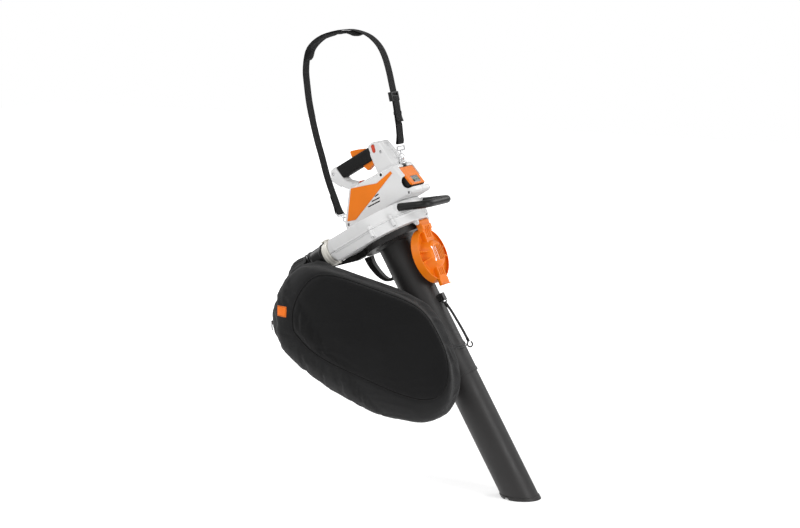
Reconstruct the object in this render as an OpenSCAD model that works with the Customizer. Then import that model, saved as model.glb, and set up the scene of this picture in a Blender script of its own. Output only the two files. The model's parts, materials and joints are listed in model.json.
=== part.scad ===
// Battery leaf vacuum and mulcher with a shoulder strap and a catcher bag.
// Origin: centre of the suction mouth on the floor. +Z up, +X forward, -Y the operator's right.

/* [Stance] */
// Lean of the suction tube away from vertical, in degrees
lean = 30.6; // [29:0.1:32]

/* [Suction tube] */
// Distance along the tube from the mouth to the fan inlet
inlet_w = 820; // [800:1:840]
// Outside diameter of the upper tube
upper_od = 101; // [100:0.5:102]
// Outside diameter of the lower tube
lower_od = 96; // [95:0.5:97]
// Bore diameter of the lower tube, which is the suction mouth
mouth_bore_d = 91; // [88:0.5:92]
// Height of the joint where the lower tube enters the upper tube
tube_joint_w = 375; // [350:1:400]
// Length of lower tube held inside the upper tube
tube_overlap = 60; // [40:1:70]
// Diameter of the flange that seals the tube to the fan
flange_d = 180; // [170:1:190]

/* [Fan] */
// Radius of the volute's round wall
volute_r = 118; // [114:1:120]
// Height of the volute along the tube axis
volute_h = 65; // [62:1:68]
// Wall thickness of the volute
volute_wall = 4; // [3:0.5:5]
// Radius of the impeller
impeller_r = 95; // [85:1:98]
// Number of impeller vanes
vane_count = 12; // [8:1:16]

/* [Housing] */
// Half width of the housing at the battery and panels
body_half = 52; // [51:0.5:54]
// Half width of the handle
handle_half = 20; // [19:0.5:21]
// Thickness of the orange side panels
panel_t = 2.4; // [2:0.2:3]

/* [Battery] */
// Width of the battery pack
pack_w = 78; // [76:1:80]
// Height of the battery pack
pack_h = 63; // [60:1:64]
// Length of the battery pack inside the bay
pack_l = 92; // [80:1:94]
// Tilt of the battery bay above the fan plane, in degrees
pack_tilt = 13.5; // [12:0.5:15]

/* [Loop handle] */
// Diameter of the loop handle's rod
loop_rod_d = 22; // [20:1:24]
// Distance between the centre lines of the loop's arms
loop_w = 144; // [140:1:150]

/* [Strap] */
// Width of the strap's webbing
web_w = 34; // [30:1:38]
// Thickness of the webbing
web_t = 2.6; // [2:0.1:3]

/* [Catcher bag] */
// Thickness of the filled bag from front to back
bag_depth = 210; // [190:1:230]
// Fabric thickness of the bag
bag_cloth = 1.5; // [1:0.5:2]

/* [Hidden] */
$fn = 64;
gap = 0.1;             // clearance between neighbouring shells
run = 0.05;            // radial clearance of a turning pin
far = 400;             // longer than any cut

white = [0.93, 0.93, 0.92];
black = [0.09, 0.09, 0.09];
charcoal = [0.2, 0.19, 0.19];
orange = [0.95, 0.42, 0.05];
red = [0.8, 0.2, 0.08];
steel = [0.75, 0.76, 0.78];
cream = [0.9, 0.87, 0.8];

deck_w = inlet_w + volute_h;          // top of the volute
seam_w = inlet_w + 28;                // joint between the volute's halves
body_w = deck_w + 0.3;                // underside of the housing
volute_c = [4, -7];                   // the round wall is eccentric, so the passage widens
cord_u = 60.5;                        // lug for the retention cord, off the tube's axis
cord_w = inlet_w - 221;               // and its height along the tube
duct_y = -88;                         // centre line of the outlet duct
outlet_w = inlet_w + volute_h / 2;
outlet_u = -138;                      // end of the duct
pack_face = [148.5, inlet_w + 121.5]; // centre of the battery's face
trigger_axis = [54, inlet_w + 232];
lockout_axis = [40, inlet_w + 242];
guard_axis = [110, inlet_w - 8];
guard_hang = 97.6;                    // guard's angle below the fan plane
latch_axis = [-34, 38];               // battery latch pivot in the bay's own axes
elbow_bend = 12;
elbow_r = 60;
elbow_run = 28;                       // straight part of the elbow
loop_drop = 21;                       // slope of the loop handle

// ---------- helpers ----------

// Turns the tool's own axes (u forward, Y across, w up the tube) into the stance
module tilted() { rotate([0, -lean, 0]) children(); }

// Plate with an outline in the u-w plane, between two values of Y
module plate(pts, y0, y1) {
    translate([0, y1, 0]) rotate([90, 0, 0]) linear_extrude(height = y1 - y0) polygon(pts);
}

// Round bar across the tool, between two values of Y
module bar_y(p, r, y0, y1) {
    translate([p[0], y0, p[1]]) rotate([-90, 0, 0]) cylinder(r = r, h = y1 - y0);
}

// Block between two corners
module block(lo, hi) { translate(lo) cube(hi - lo); }

// Slab with rounded corners at the given centres and a softened outer face on the -Y side
module soft_slab(pts, r, y_edge, y_out) {
    y_soft = y_edge + (y_out - y_edge) * 0.65;
    hull() for (p = pts) {
        bar_soft(p, r, y_edge);
        bar_soft(p, r - (y_out - y_edge) * 0.2, y_soft);
        bar_soft(p, max(1, r - (y_out - y_edge) * 0.6), y_out);
    }
}
module bar_soft(p, r, y) {
    translate([p[0], -y, p[1]]) rotate([-90, 0, 0]) cylinder(r = r, h = y - gap / 2, $fn = 32);
}

// Straight-walled pocket with rounded corners, opening at the mid-plane
module pocket(pts, r, y) {
    translate([0, 1, 0]) rotate([90, 0, 0]) linear_extrude(height = y + 1)
        hull() for (p = pts) translate(p) circle(r = r, $fn = 24);
}

// Shows a right-hand piece, or its mirror image on the left
module on_side(s) { if (s < 0) children(); else mirror([0, 1, 0]) children(); }

// Smooth curve through a list of points
function curve(p, steps) = [for (i = [0 : len(p) - 2], k = [0 : steps - 1])
    spline(p[max(i - 1, 0)], p[i], p[i + 1], p[min(i + 2, len(p) - 1)], k / steps)];
function spline(a, b, c, d, t) =
    0.5 * (2 * b + (c - a) * t + (2 * a - 5 * b + 4 * c - d) * t * t + (3 * b - a - 3 * c + d) * t * t * t);
// Curve moved sideways by d
function side_step(p, d) = [for (i = [0 : len(p) - 1])
    let (q = p[min(i + 1, len(p) - 1)] - p[max(i - 1, 0)]) p[i] + d * [-q[1], q[0]] / norm(q)];
function reversed(p) = [for (i = [len(p) - 1 : -1 : 0]) p[i]];
function ribbon(p, d0, d1) = concat(side_step(p, d0), reversed(side_step(p, d1)));
// Points on a pitch circle
function ring_point(r, a) = [r * cos(a), r * sin(a)];

// ---------- suction tube ----------

module lower_tube() {
    top_w = tube_joint_w + tube_overlap;
    color(charcoal) difference() {
        union() {
            intersection() {
                tilted() translate([0, 0, -60]) cylinder(d = lower_od, h = top_w + 60, $fn = 96);
                translate([-far, -far, 0]) cube([2 * far, 2 * far, 2 * far]);
            }
            // thick lip round the mouth, cut level with the floor
            intersection() {
                tilted() translate([0, 0, -60]) cylinder(d = lower_od + 4, h = 140, $fn = 96);
                translate([-far, -far, 0]) cube([2 * far, 2 * far, 9]);
            }
        }
        tilted() translate([0, 0, -80]) cylinder(d = mouth_bore_d, h = top_w + 100, $fn = 96);
        // relief that lets air in when the mouth stands on the floor
        translate([-22, -far, -3]) rotate([-90, 0, 0]) cylinder(r = 9, h = far);
    }
}

module upper_tube() {
    bore_r = lower_od / 2 + 0.1;
    color(charcoal) tilted() difference() {
        union() {
            translate([0, 0, tube_joint_w])
                cylinder(d = upper_od, h = inlet_w - tube_joint_w - gap, $fn = 96);
            translate([0, 0, tube_joint_w]) cylinder(d = upper_od + 2.4, h = 8, $fn = 96);
            translate([0, 0, inlet_w - 18]) cylinder(d = flange_d, h = 18 - gap, $fn = 96);
            translate([0, 0, inlet_w - 26]) cylinder(d1 = upper_od, d2 = upper_od + 22, h = 9, $fn = 96);
            // brace loop between the flange and the tube
            difference() {
                plate(brace_loop(), -9, 9);
                translate([0, 0, 300]) cylinder(r = bore_r + 0.5, h = 450);
            }
            // lug for the bag's retention cord
            block([46, -8, cord_w - 11], [67, 8, cord_w + 11]);
            block([44, -13, cord_w - 7], [54, 13, cord_w + 7]);
        }
        translate([0, 0, tube_joint_w - 1]) cylinder(r = bore_r, h = inlet_w, $fn = 96);
        bar_y([cord_u, cord_w], 3.5, -20, 20);
    }
}
function brace_loop() = let (w = inlet_w)
    concat(curve([[-110, w - 16], [-109, w - 42], [-101, w - 72], [-90, w - 93], [-78, w - 105],
                  [-62, w - 111], [-44, w - 112]], 5),
           curve([[-44, w - 98], [-58, w - 103], [-68, w - 102], [-78, w - 90], [-86, w - 66], [-90, w - 38],
                  [-86, w - 16]], 5));

// ---------- volute ----------

module duct_outline(inset) {
    translate(volute_c) circle(r = volute_r - inset, $fn = 128);
    translate([-120, duct_y - 35 + inset]) square([124, 70 - 2 * inset]);
    polygon([[-110, -58], [-104, duct_y + 20], [0, duct_y + 20], [0, -40], [-86, -50 - inset]]);
}
module volute_form(inset) {
    translate([0, 0, inlet_w + inset]) linear_extrude(height = volute_h - 2 * inset) duct_outline(inset);
    r = 34.5 - inset;
    hull() {
        block([-120.5, duct_y - 35 + inset, inlet_w + inset], [-118.5, duct_y + 35 - inset, deck_w - inset]);
        translate([outlet_u, duct_y, outlet_w]) rotate([0, 90, 0]) cylinder(r = r - 2.5, h = 6, $fn = 48);
    }
}
module volute_shell() {
    difference() {
        union() {
            volute_form(0);
            // stiffening bead along the joint, and a shoulder under the deck
            translate([volute_c[0], volute_c[1], seam_w - 4]) cylinder(r = volute_r + 2.2, h = 8, $fn = 128);
            translate([0, 0, seam_w - 4]) block([-116, duct_y - 37, 0], [0, duct_y, 8]);
        }
        volute_form(volute_wall);
        translate([outlet_u - 5, duct_y, outlet_w]) rotate([0, 90, 0]) cylinder(r = 28, h = 22);
    }
}
volute_lugs = [for (a = [12, 62, 112, 160, -50, -82]) volute_c + ring_point(volute_r + 4.2, a)];

module volute_lower() {
    color(white) tilted() difference() {
        union() {
            intersection() {
                volute_shell();
                block([-far, -far, inlet_w - 1], [far, far, seam_w - gap / 2]);
            }
            for (p = volute_lugs) lug(p, seam_w - 20, 20 - gap / 2);
            // ears that carry the intake guard's pin
            for (s = [-1, 1]) guard_ear(s);
        }
        volute_form(volute_wall);
        translate([0, 0, inlet_w - 5]) cylinder(d = lower_od + 0.2, h = 20, $fn = 96);
        for (p = volute_lugs) translate([p[0], p[1], seam_w - 30]) cylinder(r = 2.3, h = 40, $fn = 24);
        bar_y(guard_axis, 2.5 + run, -60, 60);
        // seat of the tube's flange
        translate([0, 0, inlet_w - 40]) cylinder(d = flange_d + 1, h = 40, $fn = 96);
    }
}
module guard_ear(s) {
    y0 = s < 0 ? -34 : 26;
    hull() {
        bar_y(guard_axis, 6, y0, y0 + 8, $fn = 32);
        block([98, y0, inlet_w + 2], [118, y0 + 8, inlet_w + 10]);
    }
}
module lug(p, w, h) {
    difference() {
        translate([p[0], p[1], w]) cylinder(r = 6, h = h, $fn = 32);
        translate([volute_c[0], volute_c[1], w - 1]) cylinder(r = volute_r - 2, h = h + 2);
    }
}
module volute_upper() {
    color(white) tilted() difference() {
        union() {
            intersection() {
                volute_shell();
                block([-far, -far, seam_w + gap / 2], [far, far, deck_w + 1]);
            }
            for (p = volute_lugs) lug(p, seam_w + gap / 2, 12);
            // bosses that take the loop handle's arms
            for (s = [-1, 1]) loop_boss(s);
            translate([0, 0, deck_w - volute_wall - 6]) cylinder(r = 26, h = volute_wall + 6 - 0.1);
        }
        difference() {
            volute_form(volute_wall);
            translate([0, 0, deck_w - volute_wall - 6]) cylinder(r = 26, h = 20);
        }
        translate([0, 0, deck_w - 20]) cylinder(r = 16, h = 30);
        for (p = volute_lugs) translate([p[0], p[1], seam_w - 30]) cylinder(r = 2.3, h = 60, $fn = 24);
        for (s = [-1, 1]) translate(loop_root(s)) rotate([0, 90 + loop_drop, 0])
            translate([0, 0, -40]) cylinder(r = 3.1, h = 80, $fn = 24);
    }
}
function loop_root(s) = [100, s * loop_w / 2, inlet_w + 52];
module loop_boss(s) {
    difference() {
        translate(loop_root(s)) rotate([0, 90 + loop_drop, 0]) translate([0, 0, -16])
            cylinder(d = loop_rod_d + 4, h = 21);
        translate([volute_c[0], volute_c[1], inlet_w]) cylinder(r = volute_r - volute_wall, h = 200);
        block([50, -far / 2, deck_w], [150, far / 2, deck_w + 40]);
    }
}
module volute_screws() {
    color(steel) tilted() for (p = volute_lugs) {
        translate([p[0], p[1], seam_w - 24]) cylinder(r = 2.2, h = 34, $fn = 24);
        translate([p[0], p[1], seam_w - 23.2]) difference() {
            cylinder(r = 3.6, h = 3, $fn = 32);
            translate([0, 0, -1]) cylinder(r = 2, h = 2.5, $fn = 6);
        }
    }
}

// ---------- discharge ----------

module outlet_ring() {
    color(cream) tilted() translate([outlet_u - gap, duct_y, outlet_w]) rotate([0, -90, 0]) difference() {
        union() {
            cylinder(r = 35, h = 22);
            cylinder(r = 36.5, h = 4);
            translate([0, 0, 12]) cylinder(r = 36, h = 2.5);
            // ears and pin of the latch
            for (s = [-1, 1]) translate([0, s * 10.5, 0]) block([32, -1.5, 6], [42, 1.5, 12]);
            translate([latch_rise, 0, 9 - gap]) rotate([90, 0, 0])
                translate([0, 0, -11]) cylinder(r = 1.3, h = 22);
        }
        translate([0, 0, -1]) cylinder(r = 30, h = 30);
    }
}
latch_rise = 39.5;
latch_pivot = [outlet_u - 9, outlet_w + latch_rise];
module outlet_latch() {
    color(cream) tilted() difference() {
        union() {
            bar_y(latch_pivot, 3, duct_y - 8, duct_y + 8);
            translate([latch_pivot[0], duct_y, latch_pivot[1]]) block([-14, -7, 0], [1, 7, 3]);
            translate([latch_pivot[0], duct_y, latch_pivot[1]]) block([-16, -7, -1.6], [-13.5, 7, 3]);
        }
        bar_y(latch_pivot, 1.3 + run, duct_y - 20, duct_y + 20);
    }
}
module elbow_pipe(r, extra) {
    translate([outlet_u - 22.4 + extra, duct_y, outlet_w]) rotate([0, -90, 0])
        cylinder(r = r, h = elbow_run + extra + 0.6);
    elbow_centre() rotate([90, 0, 0]) rotate([0, 0, 90])
        rotate_extrude(angle = elbow_bend) translate([elbow_r, 0]) circle(r = r - 0.15);
    elbow_end() translate([0, 0, -0.6]) cylinder(r = r, h = 14.6 + extra);
}
module elbow_centre() { translate([outlet_u - 22.4 - elbow_run, duct_y, outlet_w - elbow_r]) children(); }
module elbow_end() {
    elbow_centre() translate([-elbow_r * sin(elbow_bend), 0, elbow_r * cos(elbow_bend)])
        rotate([0, -90 - elbow_bend, 0]) children();
}
module discharge_elbow() {
    color(black) tilted() difference() {
        union() {
            elbow_pipe(34.5, 0);
            translate([outlet_u - 22.4, duct_y, outlet_w]) rotate([0, -90, 0]) cylinder(r = 37.5, h = 9);
            elbow_end() cylinder(r = 36.5, h = 4);
            // arm that braces the elbow against the tube's flange
            difference() {
                hull() {
                    block([outlet_u - 44, duct_y - 2, inlet_w + 1],
                          [outlet_u - 30, duct_y + 20, inlet_w + 8]);
                    block([-100, -70, inlet_w - 20], [-96, -46, inlet_w - 2]);
                }
                translate([0, 0, inlet_w - 50]) cylinder(d = flange_d + 1, h = 80, $fn = 96);
                block([outlet_u - 22, -far, inlet_w - 0.5], [0, far, inlet_w + 60]);
                translate([outlet_u + 2, duct_y, outlet_w]) rotate([0, -90, 0]) cylinder(r = 37.2, h = 24.3);
            }
            difference() {
                block([-100, -70, inlet_w - 20], [-50, -46, inlet_w - 2]);
                translate([0, 0, inlet_w - 50]) cylinder(d = flange_d + 1, h = 80, $fn = 96);
            }
        }
        elbow_pipe(31, 2);
    }
}
module bag_band() {
    color(black) tilted() elbow_end() translate([0, 0, 5]) difference() {
        cylinder(r = 38.5, h = 8);
        translate([0, 0, -1]) cylinder(r = 36, h = 12);
    }
}

// ---------- intake guard ----------

guard_c = 96;       // hinge to the middle of the disc
guard_r = 80;       // radius of the skirt at its inner edge
guard_rim = 74;     // and at its outer edge
guard_deep = 22;    // depth of the skirt
guard_hub = 18;     // height of the hub above the rim
module guard_place() {
    tilted() translate([guard_axis[0], 0, guard_axis[1]]) rotate([0, guard_hang, 0]) children();
}
module intake_guard() {
    color(orange) guard_place() difference() {
        union() {
            translate([guard_c, 0, 0]) guard_disc();
            // hinge barrel and bracket, and the spine that carries them to the hub
            bar_y([0, 0], 6.8, -25.5, 25.5);
            block([0, -25.5, -8], [30, 25.5, 6.7]);
            block([9, -25.5, 0], [24, 25.5, 10]);
            block([20, -21, -12], [guard_c - 30, 21, 6]);
            // second spine and the latch tongue
            block([guard_c + 30, -19, -12], [guard_c + guard_rim, 19, 5]);
            block([guard_c + guard_rim - 4, -23, -5], [guard_c + guard_r + 12, 23, 5]);
            block([guard_c + guard_r + 9, -20, 0], [guard_c + guard_r + 12, 20, 12]);
        }
        bar_y([0, 0], 2.5 + run, -60, 60);
        // hollow behind the hub, so the guard is one even wall
        translate([guard_c, 0, -13]) cylinder(r1 = 47.5, r2 = 30, h = 28.5);
        // air slots in the hub and in both spines
        for (k = [-3 : 3]) block([guard_c - 22, k * 8 - 1.5, 10], [guard_c + 22, k * 8 + 1.5, 30]);
        for (k = [-1 : 1]) block([14, k * 9 - 1.8, 2], [48, k * 9 + 1.8, 20]);
        for (k = [-1 : 1]) block([guard_c + 42, k * 9 - 1.8, -20], [guard_c + 64, k * 9 + 1.8, 20]);
    }
}
module guard_disc() {
    difference() {
        translate([0, 0, -guard_deep]) cylinder(r1 = guard_r, r2 = guard_rim, h = guard_deep, $fn = 96);
        translate([0, 0, -guard_deep - 1])
            cylinder(r1 = guard_r - 2.7, r2 = guard_rim - 3, h = guard_deep + 2, $fn = 96);
    }
    translate([0, 0, -13]) cylinder(r = guard_rim, h = 3, $fn = 96);
    translate([0, 0, -13]) cylinder(r1 = 50, r2 = 36, h = 26);
    translate([0, 0, 12.9]) cylinder(r1 = 36, r2 = 28, h = guard_hub - 12.9);
    // two ribs on each side, rising from the rim to the hub
    for (s = [-1, 1], a = [77, 103]) rotate([0, 0, s * a])
        plate([[38, -12], [guard_rim - 1, -12], [guard_rim - 1, -0.6], [36, 12], [34, 12]], -1.4, 1.4);
}
module guard_hinge_pin() {
    color(steel) tilted() {
        bar_y(guard_axis, 2.5, -35.5, 35.5);
        bar_y(guard_axis, 4, -37, -35);
        bar_y(guard_axis, 4, 35, 37);
    }
}

// ---------- motor and fan ----------

module motor_mount() {
    color([0.3, 0.3, 0.32]) tilted() difference() {
        union() {
            translate([0, 0, body_w]) cylinder(r = 47, h = 4);
            translate([0, 0, deck_w - 12]) cylinder(r = 15.5, h = 13);
        }
        translate([0, 0, deck_w - 11]) cylinder(r = 11.02, h = 9.5);
        translate([0, 0, deck_w - 20]) cylinder(r = 7, h = 40);
        for (a = [45 : 90 : 315]) rotate([0, 0, a])
            translate([42, 0, body_w - 5]) cylinder(r = 2, h = 12, $fn = 24);
    }
}
module motor_can() {
    color([0.35, 0.36, 0.38]) tilted() translate([0, 0, body_w + 4.2]) difference() {
        union() {
            cylinder(r = 36, h = 44);
            translate([0, 0, 44]) cylinder(r = 13, h = 8);
        }
        translate([0, 0, -1]) cylinder(r = 33.5, h = 42);
        translate([0, 0, 43]) cylinder(r = 9.02, h = 12);
        translate([0, 0, 30]) cylinder(r = 7, h = 20);
        for (a = [0 : 60 : 300]) rotate([0, 0, a]) translate([22, 0, 38]) cylinder(r = 5, h = 10, $fn = 24);
    }
}
module stator() {
    color([0.7, 0.4, 0.2]) tilted() translate([0, 0, body_w + 14]) difference() {
        cylinder(r = 33.4, h = 26);
        translate([0, 0, -1]) cylinder(r = 22, h = 30);
        for (a = [0 : 40 : 320]) rotate([0, 0, a]) block([21, -1.2, -1], [28, 1.2, 30]);
    }
}
module rotor() {
    color([0.5, 0.5, 0.52]) tilted() translate([0, 0, body_w + 14]) difference() {
        cylinder(r = 21.4, h = 26);
        translate([0, 0, -1]) cylinder(r = 5.02, h = 30);
    }
}
module motor_shaft() {
    color(steel) tilted() translate([0, 0, inlet_w + 2]) cylinder(r = 5, h = deck_w - inlet_w + 54);
}
module ring_bearing(r, bore, h) {
    color(steel) difference() {
        cylinder(r = r, h = h);
        translate([0, 0, -1]) cylinder(r = bore, h = h + 2);
        difference() {
            translate([0, 0, h - 0.6]) cylinder(r = r - 2.4, h = 1);
            translate([0, 0, h - 1]) cylinder(r = bore + 2, h = 2);
        }
    }
}
module lower_bearing() { tilted() translate([0, 0, deck_w - 10.9]) ring_bearing(11, 5 + run, 8); }
module upper_bearing() { tilted() translate([0, 0, body_w + 47.4]) ring_bearing(9, 5 + run, 7); }
module impeller() {
    top = inlet_w + 46;
    color([0.2, 0.2, 0.21]) tilted() difference() {
        union() {
            translate([0, 0, top]) cylinder(r = impeller_r, h = 3, $fn = 96);
            translate([0, 0, inlet_w + 12]) cylinder(r = 13, h = 38);
            for (i = [0 : vane_count - 1]) rotate([0, 0, i * 360 / vane_count])
                block([10, -1.4, inlet_w + 20], [impeller_r - 1, 1.4, top + 1]);
        }
        cylinder(r = 5.02, h = 2 * inlet_w, $fn = 48);
        // open eye in front of the vanes
        translate([0, 0, inlet_w + 12]) difference() {
            cylinder(r1 = 46, r2 = 36, h = 14);
            translate([0, 0, -1]) cylinder(r = 13, h = 20);
        }
    }
}
module shredder_blade() {
    color(steel) tilted() translate([0, 0, inlet_w + 8.4]) difference() {
        intersection() {
            block([-41, -9, 0], [41, 9, 3]);
            cylinder(r = 41, h = 4);
        }
        translate([0, 0, -1]) cylinder(r = 5.02, h = 6, $fn = 48);
    }
}
module impeller_nut() {
    color(steel) tilted() translate([0, 0, inlet_w + 2.4]) difference() {
        cylinder(r = 9, h = 5.8, $fn = 6);
        translate([0, 0, -1]) cylinder(r = 5.02, h = 8, $fn = 48);
    }
}

// ---------- housing ----------

w0 = inlet_w;       // outlines below are heights above the fan inlet
body_pts = [[-88, w0 + 76], [-86, w0 + 88], [-26, w0 + 164], [132, w0 + 157], [150, w0 + 76]];
pylon_pts = [[76, w0 + 247], [90, w0 + 249], [111, w0 + 242], [116, w0 + 220], [119, w0 + 194],
    [128, w0 + 172], [82, w0 + 165], [74, w0 + 190]];
pylon_room = [[88, w0 + 241], [108, w0 + 238], [112, w0 + 218], [115, w0 + 194], [120, w0 + 172],
    [88, w0 + 160]];
knuckle_pts = [[-80, w0 + 223], [-73, w0 + 244], [-62, w0 + 246], [-60, w0 + 226], [-52, w0 + 206],
    [-66, w0 + 202]];
lower_bar_pts = [[-64, w0 + 203], [-48, w0 + 199], [-26, w0 + 181], [-34, w0 + 172], [-54, w0 + 189]];
ridge_pts = [[-28, w0 + 180], [-30, w0 + 160], [48, w0 + 140], [50, w0 + 159]];
screw_seats = [[107, w0 + 219, 24], [86, w0 + 159, 38], [-72, w0 + 238, 15], [-80, w0 + 84, 44],
    [143, w0 + 74, 44]];

module battery_frame() { translate([pack_face[0], 0, pack_face[1]]) rotate([0, -pack_tilt, 0]) children(); }

module housing_half(s) {
    difference() {
        union() {
            difference() {
                union() {
                    soft_slab(body_pts, 10, 40, body_half);
                    difference() {
                        union() {
                            pylon();
                            soft_slab(knuckle_pts, 8, 14, handle_half);
                        }
                        plate(grip_span(0.15), -40, 1);
                    }
                    soft_slab(lower_bar_pts, 6, 15, handle_half);
                    soft_slab(ridge_pts, 6, 22, 30);
                }
                pocket(body_pts, 4, body_half - 5);
                pocket(pylon_room, 4, 23);
                // room for the front eyelet
                block([127, -14, w0 + 158], [160, 1, w0 + 168]);
            }
            // handle tube under the grip, from the knuckle to the pylon
            block([-62, -13, w0 + 225], [84, -gap / 2, w0 + 247]);
            for (q = screw_seats) bar_y([q[0], q[1]], 5.5, -q[2], -gap / 2, $fn = 32);
            // lugs for the strap's eyelets
            block([-108, -8.5, w0 + 82], [-84, -gap / 2, w0 + 98]);
            for (p = strap_lugs) bar_y(p, 8, -8.5, -gap / 2, $fn = 32);
        }
        block([-58, -11, w0 + 227], [88, 1, w0 + 245]);
        block([12, -10.5, w0 + 220], [70, 1, w0 + 230]);
        block([-8, -10.5, w0 + 240], [54, 1, w0 + 260]);
        battery_room();
        opening_for_fan();
        // screw holes with sunk heads
        for (q = screw_seats) {
            bar_y([q[0], q[1]], 2.2, -60, 1, $fn = 24);
            bar_y([q[0], q[1]], 4.6, -60, -q[2] + 2, $fn = 32);
        }
        // pins of the trigger and the lockout
        bar_y(trigger_axis, 2 + run, -16, 1, $fn = 32);
        bar_y(lockout_axis, 1.5 + run, -12.5, 1, $fn = 32);
        // seat of the side panel, and three cooling vents
        plate(panel_outline(0.25), -body_half - 5, panel_t - body_half - 1 + gap);
        for (v = vents) translate([v[0], 0, v[1]]) rotate([0, -v[3], 0])
            block([0, -body_half - 5, -1.6], [v[2], -body_half + 8, 1.6]);
        for (p = strap_lugs) bar_y(p, 2.3, -20, 5, $fn = 32);
    }
}
strap_lugs = [[-108, w0 + 90], [138, w0 + 164]];
vents = [[2, w0 + 99, 45, -3], [20, w0 + 107, 31, -3], [36, w0 + 115, 17, 2]];

module pylon() {
    hull() {
        for (p = pylon_pts) {
            bar_soft(p, 8, 19);
            bar_soft(p, 6, 24);
            bar_soft(p, 3, 28);
        }
        for (p = [[80, w0 + 150], [126, w0 + 150]]) bar_soft(p, 8, 40);
    }
}
module battery_room() {
    c = 0.5;
    battery_frame() {
        block([-pack_l - c, -pack_w / 2 - c, -pack_h / 2 - c], [60, pack_w / 2 + c, pack_h / 2 + c]);
        // contacts behind the pack, and the latch above it
        block([-pack_l - 9, -22, -14], [0, 22, 14]);
        block([-44, -11, pack_h / 2], [30, 11, pack_h / 2 + 15]);
    }
    // thumb relief that shows the pack's side
    bar_y([153, w0 + 104], 19, -70, 70);
}
module opening_for_fan() { translate([0, 0, w0 + 30]) cylinder(r = 48, h = 44); }

pill = [[91, w0 + 244], [88.6, w0 + 231]];       // ends of the pill-shaped button
module housing_right() { color(white) tilted() housing_right_shape(); }
module housing_right_shape() {
    difference() {
        housing_half(-1);
        // slot of the pill button, on this side only
        for (p = pill) bar_y(p, 5.4, -40, 1, $fn = 32);
        plate([pill[0] - [5.4, 0], pill[1] - [5.4, 0], pill[1] + [5.4, 0], pill[0] + [5.4, 0]], -40, 1);
        slider_place() block([-14, -7, -6], [14, 7, 8]);
    }
}
module housing_left() { color(white) tilted() mirror([0, 1, 0]) housing_half(1); }

module housing_screws() {
    color(steel) tilted() for (q = screw_seats) {
        bar_y([q[0], q[1]], 2, -q[2] + 1, q[2] - 6, $fn = 24);
        difference() {
            bar_y([q[0], q[1]], 4.2, -q[2] - 1.6, -q[2] + 1.8, $fn = 32);
            bar_y([q[0], q[1]], 2, -q[2] - 3, -q[2] - 0.2, $fn = 6);
        }
    }
}
function panel_outline(g) = [[-20 - g, w0 + 170 + g], [63, w0 + 144 + g], [120 + g, w0 + 153 + g],
    [122 + g, w0 + 146 - g], [-52 + g, w0 + 86 - g], [-79 - g, w0 + 94 - g]];
module side_panel(s) {
    color(orange) tilted() on_side(s)
        plate(panel_outline(0), -body_half - 1, panel_t - body_half - 1);
}
module side_panel_right() { side_panel(-1); }
module side_panel_left() { side_panel(1); }

// ---------- controls ----------

// Outline that the grip cover fills between the knuckle and the pylon
function grip_span(g) = [[-48 - g, w0 + 212 - g], [-54 - g, w0 + 257], [75 + g, w0 + 257], [75 + g, w0 + 233],
    [61 + g, w0 + 212 - g]];
module grip_cover() {
    color(black) tilted() difference() {
        intersection() {
            translate([-64, 0, w0 + 233]) rotate([0, 90, 0]) linear_extrude(height = 142)
                hull() for (y = [-10, 10], z = [-10, 10]) translate([z, y]) circle(r = 9, $fn = 32);
            plate(grip_span(0), -30, 30);
        }
        block([-70, -13.2, w0 + 224.8], [84, 13.2, w0 + 247.2]);
        block([12, -10.6, w0 + 210], [65, 10.6, w0 + 235]);
        block([-8, -10.6, w0 + 240], [54, 10.6, w0 + 260]);
        // finger grooves on both sides
        for (k = [0 : 20], s = [-1, 1]) bar_z_groove(-44 + 5 * k, s);
    }
}
module bar_z_groove(u, s) {
    translate([u, s * 19.6, w0 + 220]) cylinder(r = 1.2, h = 26, $fn = 24);
}
module trigger() {
    t = trigger_axis;
    color(orange) tilted() difference() {
        union() {
            plate([[24, w0 + 226], [23, w0 + 213], [31, w0 + 196], [57, w0 + 203.5], [59, w0 + 216],
                [t[0] + 5, t[1]], [t[0] - 4, t[1] - 1], [40, w0 + 229]], -9, 9);
            bar_y(t, 5, -9, 9);
        }
        bar_y(t, 2 + run, -20, 20, $fn = 48);
        // room between the ears for the spring
        block([t[0] - 6.5, -4.5, t[1] - 6.5], [t[0] + 10, 4.5, t[1] + 10]);
        bar_y([18, w0 + 212], 6.5, -20, 20);
    }
}
module trigger_pin() { color(steel) tilted() bar_y(trigger_axis, 2, -12.8, 12.8); }
module trigger_spring() {
    t = trigger_axis;
    color(steel) tilted() {
        for (k = [-3 : 3]) translate([t[0], k * 1.1, t[1]]) rotate([90, 0, 0])
            rotate_extrude($fn = 32) translate([3.2, 0]) circle(r = 0.6, $fn = 16);
        translate([t[0] + 3.2, 3.3, t[1]]) cylinder(r = 0.6, h = 9, $fn = 16);
    }
}
module lockout_lever() {
    p = lockout_axis;
    color(orange) tilted() difference() {
        union() {
            plate([[2, w0 + 253], [4, w0 + 268], [8, w0 + 270.5], [24, w0 + 266], [45, w0 + 258],
                [50, w0 + 254], [p[0] + 3.6, p[1]], [p[0] - 3.6, p[1]], [34, w0 + 248], [24, w0 + 251]], -9, 9);
            bar_y(p, 3.6, -9, 9);
        }
        bar_y(p, 1.5 + run, -20, 20, $fn = 48);
    }
}
module lockout_pin() { color(steel) tilted() bar_y(lockout_axis, 1.5, -12, 12); }
module trigger_switch() {
    color([0.15, 0.15, 0.17]) tilted() {
        block([-24, -7, w0 + 228], [16, 7, w0 + 240]);
        block([16, -3, w0 + 230], [19, 3, w0 + 236]);
    }
}
module setting_button() {
    color(red) tilted() hull() {
        for (p = pill) bar_y(p, 5, -30, -17, $fn = 32);
    }
}
module slider_place() { translate([9, -26, w0 + 174]) rotate([0, 16, 0]) children(); }
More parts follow.
